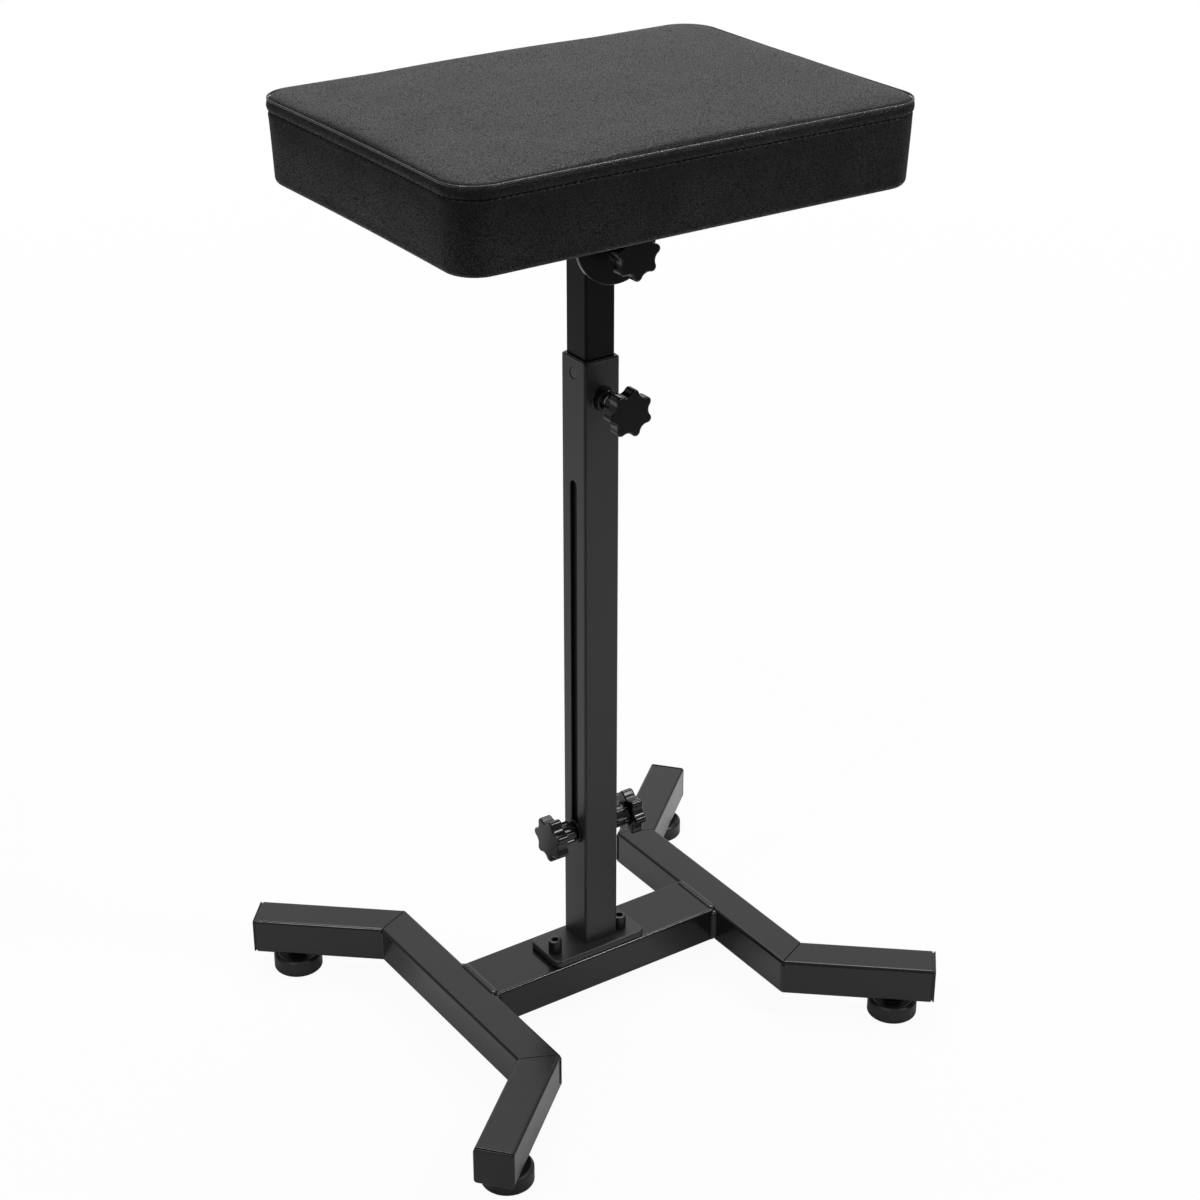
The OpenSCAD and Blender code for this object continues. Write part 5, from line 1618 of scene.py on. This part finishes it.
# Share of even white for the camera near the object, and for reflections
NEAR_SHARE, MIRRORED_SHARE = 0.95, 0.1
# The white ground ends around this centre, between these distances
GROUND_CENTRE = (-0.1, 0.2, 0)
GROUND_END = (1.68, 1.92)
# Way to the camera stand, how directly a place lies that way, and how far out
STAND_WAY = (-0.563, -0.827, 0)
STAND_TURN = (0.55, 0.85)
STAND_OUT = (0.35, 0.7)
FLOOR_RADII = (0.5, 1.5, 4.0, 12.0, 30.0)
FLOOR_SIDES = 64


def glossy_or_clear(tree, rays):
    """1 for rays that were mirrored or that went through something clear."""
    return calc(tree, "MAXIMUM", (rays, "Is Glossy Ray"), (rays, "Is Transmission Ray"))


def floor_finish():
    """Nearly even white for the camera, and mostly lit matt white for reflections, so that they
    show the shade beside the legs."""
    material = bpy.data.materials.new("studio_floor")
    material.use_nodes = True
    tree = material.node_tree
    tree.nodes.clear()
    rays = put(tree, "LightPath")
    shiny = glossy_or_clear(tree, rays)
    where = place_in(tree)
    white = vary(tree, vector(tree, "LENGTH", where, result="Value"), NEAR_SHARE, 1.0, 0.6, 2.5)
    share = calc(tree, "MULTIPLY_ADD", (rays, "Is Camera Ray"), white,
                 calc(tree, "MULTIPLY", shiny, MIRRORED_SHARE))
    tone = put(tree, "Mix", {"Factor": noise(tree, where, 3.0), "A": (0.8, 0.8, 0.8, 1),
                             "B": (0.83, 0.83, 0.83, 1)}, data_type="RGBA")
    matt = put(tree, "BsdfDiffuse", {"Color": (tone, "Result")})
    even = put(tree, "Emission", {"Color": WHITE, "Strength": 1.0})
    lit = put(tree, "MixShader", {0: share, 1: (matt, 0), 2: (even, 0)})
    # The white ground ends: mirrored, it is dark far out, and on the side of the camera stand
    reach = vector(tree, "LENGTH", vector(tree, "SUBTRACT", where, GROUND_CENTRE), result="Value")
    far = vary(tree, reach, 0.0, 1.0, *GROUND_END)
    nearer = vector(tree, "DOT_PRODUCT", vector(tree, "NORMALIZE", where), STAND_WAY,
                    result="Value")
    stand = calc(tree, "MULTIPLY", vary(tree, nearer, 0.0, 1.0, *STAND_TURN),
                 vary(tree, reach, 0.0, 1.0, *STAND_OUT))
    shade = calc(tree, "MULTIPLY", calc(tree, "MAXIMUM", far, stand), shiny)
    dim = put(tree, "Emission", {"Color": DIM, "Strength": 1.0})
    lit = put(tree, "MixShader", {0: shade, 1: (lit, 0), 2: (dim, 0)})
    side = put(tree, "NewGeometry")
    clear = put(tree, "BsdfTransparent")
    both = put(tree, "MixShader", {0: (side, "Backfacing"), 1: (lit, 0), 2: (clear, 0)})
    feed(tree, (both, 0), put(tree, "OutputMaterial"), "Surface")
    # The floor is looked at, not sampled as a lamp
    material.cycles.emission_sampling = "NONE"
    return material


floor_points, floor_blocks = loft(
    rings_of(all_round(FLOOR_SIDES), [(r, 0) for r in FLOOR_RADII]), caps=False)
first_ring = np.arange(FLOOR_SIDES)
middle_fan = np.stack([np.full(FLOOR_SIDES, len(floor_points)), first_ring,
                       (first_ring + 1) % FLOOR_SIDES], -1)
floor_mesh = new_mesh("studio_floor", (np.vstack([floor_points, [[0, 0, 0]]]),
                                       [*floor_blocks, middle_fan]))
if sum(face.normal.z for face in floor_mesh.polygons) < 0:
    floor_mesh.flip_normals()
floor_mesh.materials.append(floor_finish())
floor = bpy.data.objects.new("studio_floor", floor_mesh)
bpy.context.scene.collection.objects.link(floor)
print("Floor:", 2 * FLOOR_RADII[-1], "m wide")

# %% World
# Way to the white wall that reflections see behind the object, about 40 degrees to each side
WALL_WAY = (0.482, 0.712, 0.511)
WALL_TURN = (0.62, 0.88)
WALL_LIGHT, ROOM_LIGHT = 0.9, 0.3
AMBIENT_LIGHT = 0.25
world = bpy.data.worlds.new("studio")
bpy.context.scene.world = world
world.use_nodes = True
# Every ray asks the world for its own kind of white, so the world isn't sampled as a lamp
world.cycles.sampling_method = "NONE"
tree = world.node_tree
tree.nodes.clear()
rays = put(tree, "LightPath")
compass = vector(tree, "DOT_PRODUCT", (put(tree, "TexCoord"), "Generated"), WALL_WAY,
                 result="Value")
fade = vary(tree, compass, ROOM_LIGHT, WALL_LIGHT, *WALL_TURN)
ambient, white, mirrored = (put(tree, "Background", {"Color": WHITE, "Strength": strength})
                            for strength in (AMBIENT_LIGHT, 1.0, fade))
seen = put(tree, "MixShader", {0: (rays, "Is Camera Ray"), 1: (ambient, 0), 2: (white, 0)})
all_rays = put(tree, "MixShader", {0: glossy_or_clear(tree, rays), 1: (seen, 0),
                                   2: (mirrored, 0)})
feed(tree, (all_rays, 0), put(tree, "OutputWorld"), "Surface")
print("World:", len(tree.nodes), "nodes")

# %% Lamps
# Name, place, height aimed at on the middle axis, width and power
SOFTBOXES = (("top_softbox", (0.8, 1.0, 3.2), 0.4, 2.0, 64),
             ("right_softbox", (1.25, -1.3, 2.1), 0.2, 0.28, 15),
             ("left_softbox", (-1.45, -0.55, 2.3), 0.2, 0.28, 11))
for name, place, target_z, size, power in SOFTBOXES:
    light = bpy.data.lights.new(name, "AREA")
    light.shape = "SQUARE"
    light.size = size
    light.energy = power
    aim = np.array(place) - (0, 0, target_z)
    aim /= np.linalg.norm(aim)
    side = np.cross((0, 0, 1), aim)
    side /= np.linalg.norm(side)
    hold(bpy.data.objects.new(name, light), place, side, np.cross(aim, side), aim)
bpy.context.scene.view_settings.view_transform = "Standard"
print("Lamps:", [lamp.name for lamp in bpy.data.lights])
